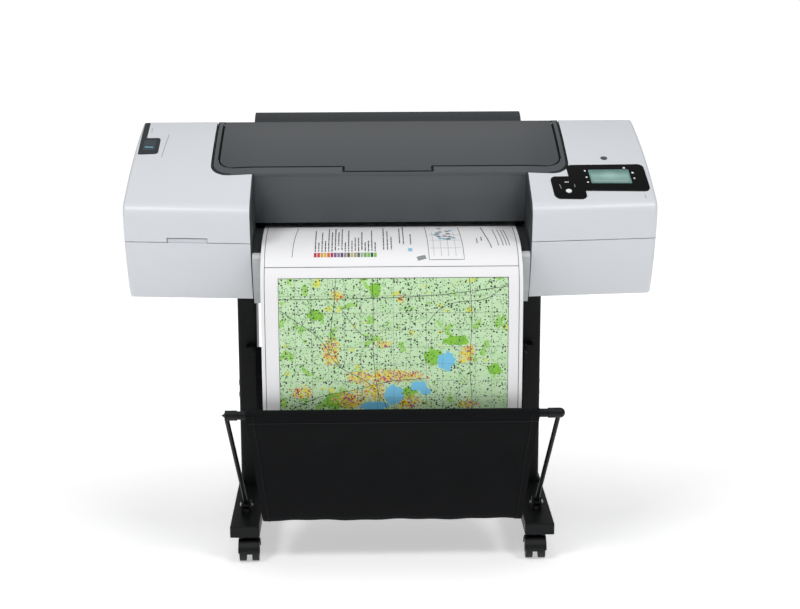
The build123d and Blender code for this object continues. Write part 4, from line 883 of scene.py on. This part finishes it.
def round_decal(slabs, place, middle, half_x, half_y, material, lift=0.0004, rows=10):
    """A thin oval mark, as a strip of rows between its two sides."""
    rows_top, rows_low = [], []
    for angle in np.linspace(0.12, math.pi - 0.12, rows):
        y = middle[1] + half_y * math.cos(angle)
        reach = half_x * math.sin(angle)
        spots = [(middle[0] - reach, y), (middle[0], y), (middle[0] + reach, y)]
        rows_top.append([place(*spot, lift) for spot in spots])
        rows_low.append([place(*spot, -MARK_SUNK) for spot in spots])
    slabs.add(rows_top, rows_low, material)


def make_panel_marks():
    """The lit picture on the screen, plain key signs and the status lights."""
    skin = skin_of("control_panel", "display_screen")
    slabs = Slabs()
    half_u, half_v = 0.0455, 0.0215
    signs = ((-1, 1), (1, 1), (1, -1), (-1, -1))
    corners = [panel_spot(across * half_u, along * half_v) for across, along in signs]
    decal(slabs, skin, corners, "display_picture", lift=0.0002, rows=5, columns=7, flat=True)
    for u, v, size in ((0.040, 0.0305, 0.0030), (0.0575, 0.012, 0.0030), (-0.0575, 0.020, 0.0024),
                       (-0.0575, -0.004, 0.0024), (-0.0575, -0.022, 0.0024), (0.0575, -0.008, 0.0024)):
        round_decal(slabs, skin, panel_spot(u, v), size, size, "button_white")
    bar_decal(slabs, skin, panel_spot(-0.114, -0.022), panel_spot(-0.104, -0.022), 0.0022, "button_white")
    bar_decal(slabs, skin, panel_spot(-0.128, -0.030), panel_spot(-0.126, -0.046), 0.0016, "ink_grey")
    bar_decal(slabs, skin, panel_spot(-0.092, -0.030), panel_spot(-0.092, -0.040), 0.0016, "ink_grey")
    marks = slabs.build("panel_marks")
    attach(marks, "chassis")
    cover = skin_of("right_cover")
    plates = Slabs()
    round_decal(plates, cover, (0.520, -0.052), 0.0085, 0.0075, "hood_grey", lift=0.0006)
    # a fine recessed line on the right cover, drawn as a flat strip of painted shade
    bar_decal(plates, cover, (0.601, -0.180), (0.603, -0.192), 0.0012, "groove_shade")
    badge = plates.build("cover_marks_right")
    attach(badge, "chassis")


def make_lever_marks():
    """The lever's pale line, and two fine grooves beside it on the left cover, drawn as flat strips of
    painted shade.
    """
    lever = skin_of("load_lever")
    slabs = Slabs()
    decal(slabs, lever, [(-0.603, 0.046), (-0.574, 0.046), (-0.574, -0.004), (-0.603, -0.004)], "lever_slate",
          lift=0.0005, rows=4, columns=4)
    bar_decal(slabs, lever, (-0.599, 0.012), (-0.578, 0.010), 0.0035, "ink_blue", lift=0.0008)
    mark = slabs.build("lever_line")
    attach(mark, "load_lever")
    cover = skin_of("left_cover")
    grooves = Slabs()
    # painted shade: flat grey strips for the shade in the left cover's fine grooves
    bar_decal(grooves, cover, (-0.5455, 0.079), (-0.5535, -0.033), 0.0012, "groove_shade", rows=3, columns=14)
    bar_decal(grooves, cover, (-0.592, 0.118), (-0.590, 0.092), 0.0010, "groove_shade", rows=3, columns=4)
    lines = grooves.build("cover_marks_left")
    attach(lines, "chassis")


def rounded_outline(half, front, radius, back, steps=8):
    """(x, y) points along a square-backed outline with round front corners, from the left back round."""
    points = [(-half, back), (-half, front + radius)]
    for centre, first in (((-half + radius, front + radius), 180), ((half - radius, front + radius), 270)):
        for n in range(1, steps):
            angle = math.radians(first + 90 * n / steps)
            points.append((centre[0] + radius * math.cos(angle), centre[1] + radius * math.sin(angle)))
        if centre[0] < 0:
            points.extend([(-half + radius, front), (half - radius, front)])
    return points + [(half, front + radius), (half, back)]


def shade_strip(slabs, points, width, place):
    """A strip of painted shade along (x, y) points; place gives the heights of its top and of its underside.
    """
    line, side = ribbon(points, 0.014, width)
    top, low = [], []
    for middle, offset in zip(line, side):
        spots = [(x, y, *place(x, y, middle)) for x, y in (middle - offset, middle + offset)]
        top.append([(x, y, high) for x, y, high, _ in spots])
        low.append([(x, y, deep) for x, y, _, deep in spots])
    slabs.add(top, low, "gap_shade_black")


LID_FRONT, LID_CORNER, LID_TAB = -0.088, 0.034, (-0.109, 0.099)
HOOD_FRONT, HOOD_CORNER = -0.118, 0.046
OPENING_X = 0.332  # just outside the paper opening
LID_GAP = 0.003
# widths of the painted shade strips in the lid's gap and on the hood beside it
GAP_SHADE_WIDTH, LIP_SHADE_WIDTH = 0.0027, 0.0024


def lid_outline(grow):
    """(x, y) points round the lid and its tab, grown outward."""
    low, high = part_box("main_lid")
    half, front, tab = high[0] + grow, LID_FRONT - grow, low[1] - grow
    corner = (-half + LID_CORNER + grow, front)
    outline = rounded_outline(half, front, LID_CORNER + grow, high[1] - 0.02)
    middle = [n for n, spot in enumerate(outline) if math.dist(spot, corner) < 1e-6][0]
    left, right = LID_TAB[0] - grow, LID_TAB[1] + grow
    tab_corners = [(left, front), (left, tab), (right, tab), (right, front)]
    return outline[: middle + 1] + tab_corners + outline[middle + 1 :]


def make_gap_shade():
    """Painted shade: a near-black strip down in the gap round the lid, where there is only shade, and
    near-black strips painted on the hood beside the lid's gap and along the hood's edges beside the covers.
    """
    seat = skin_of("hood")

    def in_gap(x, y, middle):
        floor = seat(*middle, 0.0)[2]
        return floor + 0.0016, floor + 0.0001

    def on_hood(x, y, middle):
        z = seat(x, y, 0.0)[2]
        return z + 0.0003, z - 0.0004

    slabs = Slabs()
    shade_strip(slabs, lid_outline(LID_GAP / 2), GAP_SHADE_WIDTH, in_gap)
    shade_strip(slabs, lid_outline(LID_GAP + 0.0001 + LIP_SHADE_WIDTH / 2), LIP_SHADE_WIDTH, on_hood)
    half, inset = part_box("hood")[1][0], 0.0007 + LIP_SHADE_WIDTH / 2
    ring = rounded_outline(half - inset, HOOD_FRONT + inset, HOOD_CORNER - inset, 0.145)
    for side in (-1, 1):
        shade_strip(slabs, [spot for spot in ring if side * spot[0] > OPENING_X], LIP_SHADE_WIDTH, on_hood)
    painted_gap_shade = slabs.build("painted_gap_shade")
    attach(painted_gap_shade, "chassis")


make_panel_marks()
make_lever_marks()
make_gap_shade()


# ------------------------------------------------------------------ turned fittings
def lathe(name, profile, centre, axis_x, material, body, turns=40):
    """A ring or cap turned about a line along X: profile holds (x, radius) pairs, closed."""
    points, faces = [], []
    count = len(profile)
    for t in range(turns):
        angle = 2 * math.pi * t / turns
        for x, radius in profile:
            points.append((centre[0] + axis_x * x, centre[1] + radius * math.cos(angle),
                           centre[2] + radius * math.sin(angle)))
    for t in range(turns):
        for n in range(count):
            after, following = (n + 1) % count, (t + 1) % turns
            faces.append((t * count + n, t * count + after, following * count + after, following * count + n))
    mesh = bpy.data.meshes.new(name)
    mesh.from_pydata(points, [], faces)
    mesh.materials.append(MATERIALS[material])
    for face in mesh.polygons:
        face.use_smooth = True
    mesh.set_sharp_from_angle(angle=TURNED_SHARP)
    piece = bpy.data.objects.new(name, mesh)
    scene.collection.objects.link(piece)
    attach(piece, body)
    return piece


RIM = ((0.0, 0.0195), (0.0009, 0.0185), (0.0009, 0.0150), (0.0, 0.0140))
HUB = ((-0.0002, 0.0015), (0.0012, 0.0015), (0.0016, 0.0055), (0.0010, 0.0068), (-0.0002, 0.0068))


def make_caster_rims():
    """A grey rim and a hub cap on the outer face of each caster wheel."""
    for name in frame["bodies"]:
        if not name.startswith("caster_wheels"):
            continue
        low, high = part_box(name)
        middle = middle_of(name)
        for side, face in ((-1, low[0]), (1, high[0])):
            hand = "inner" if side < 0 else "outer"
            centre = (face, middle[1], middle[2])
            lathe(f"{name}_rim_{hand}", RIM, centre, side, "rim_grey", name)
            lathe(f"{name}_hub_{hand}", HUB, centre, side, "caster_black", name)


make_caster_rims()
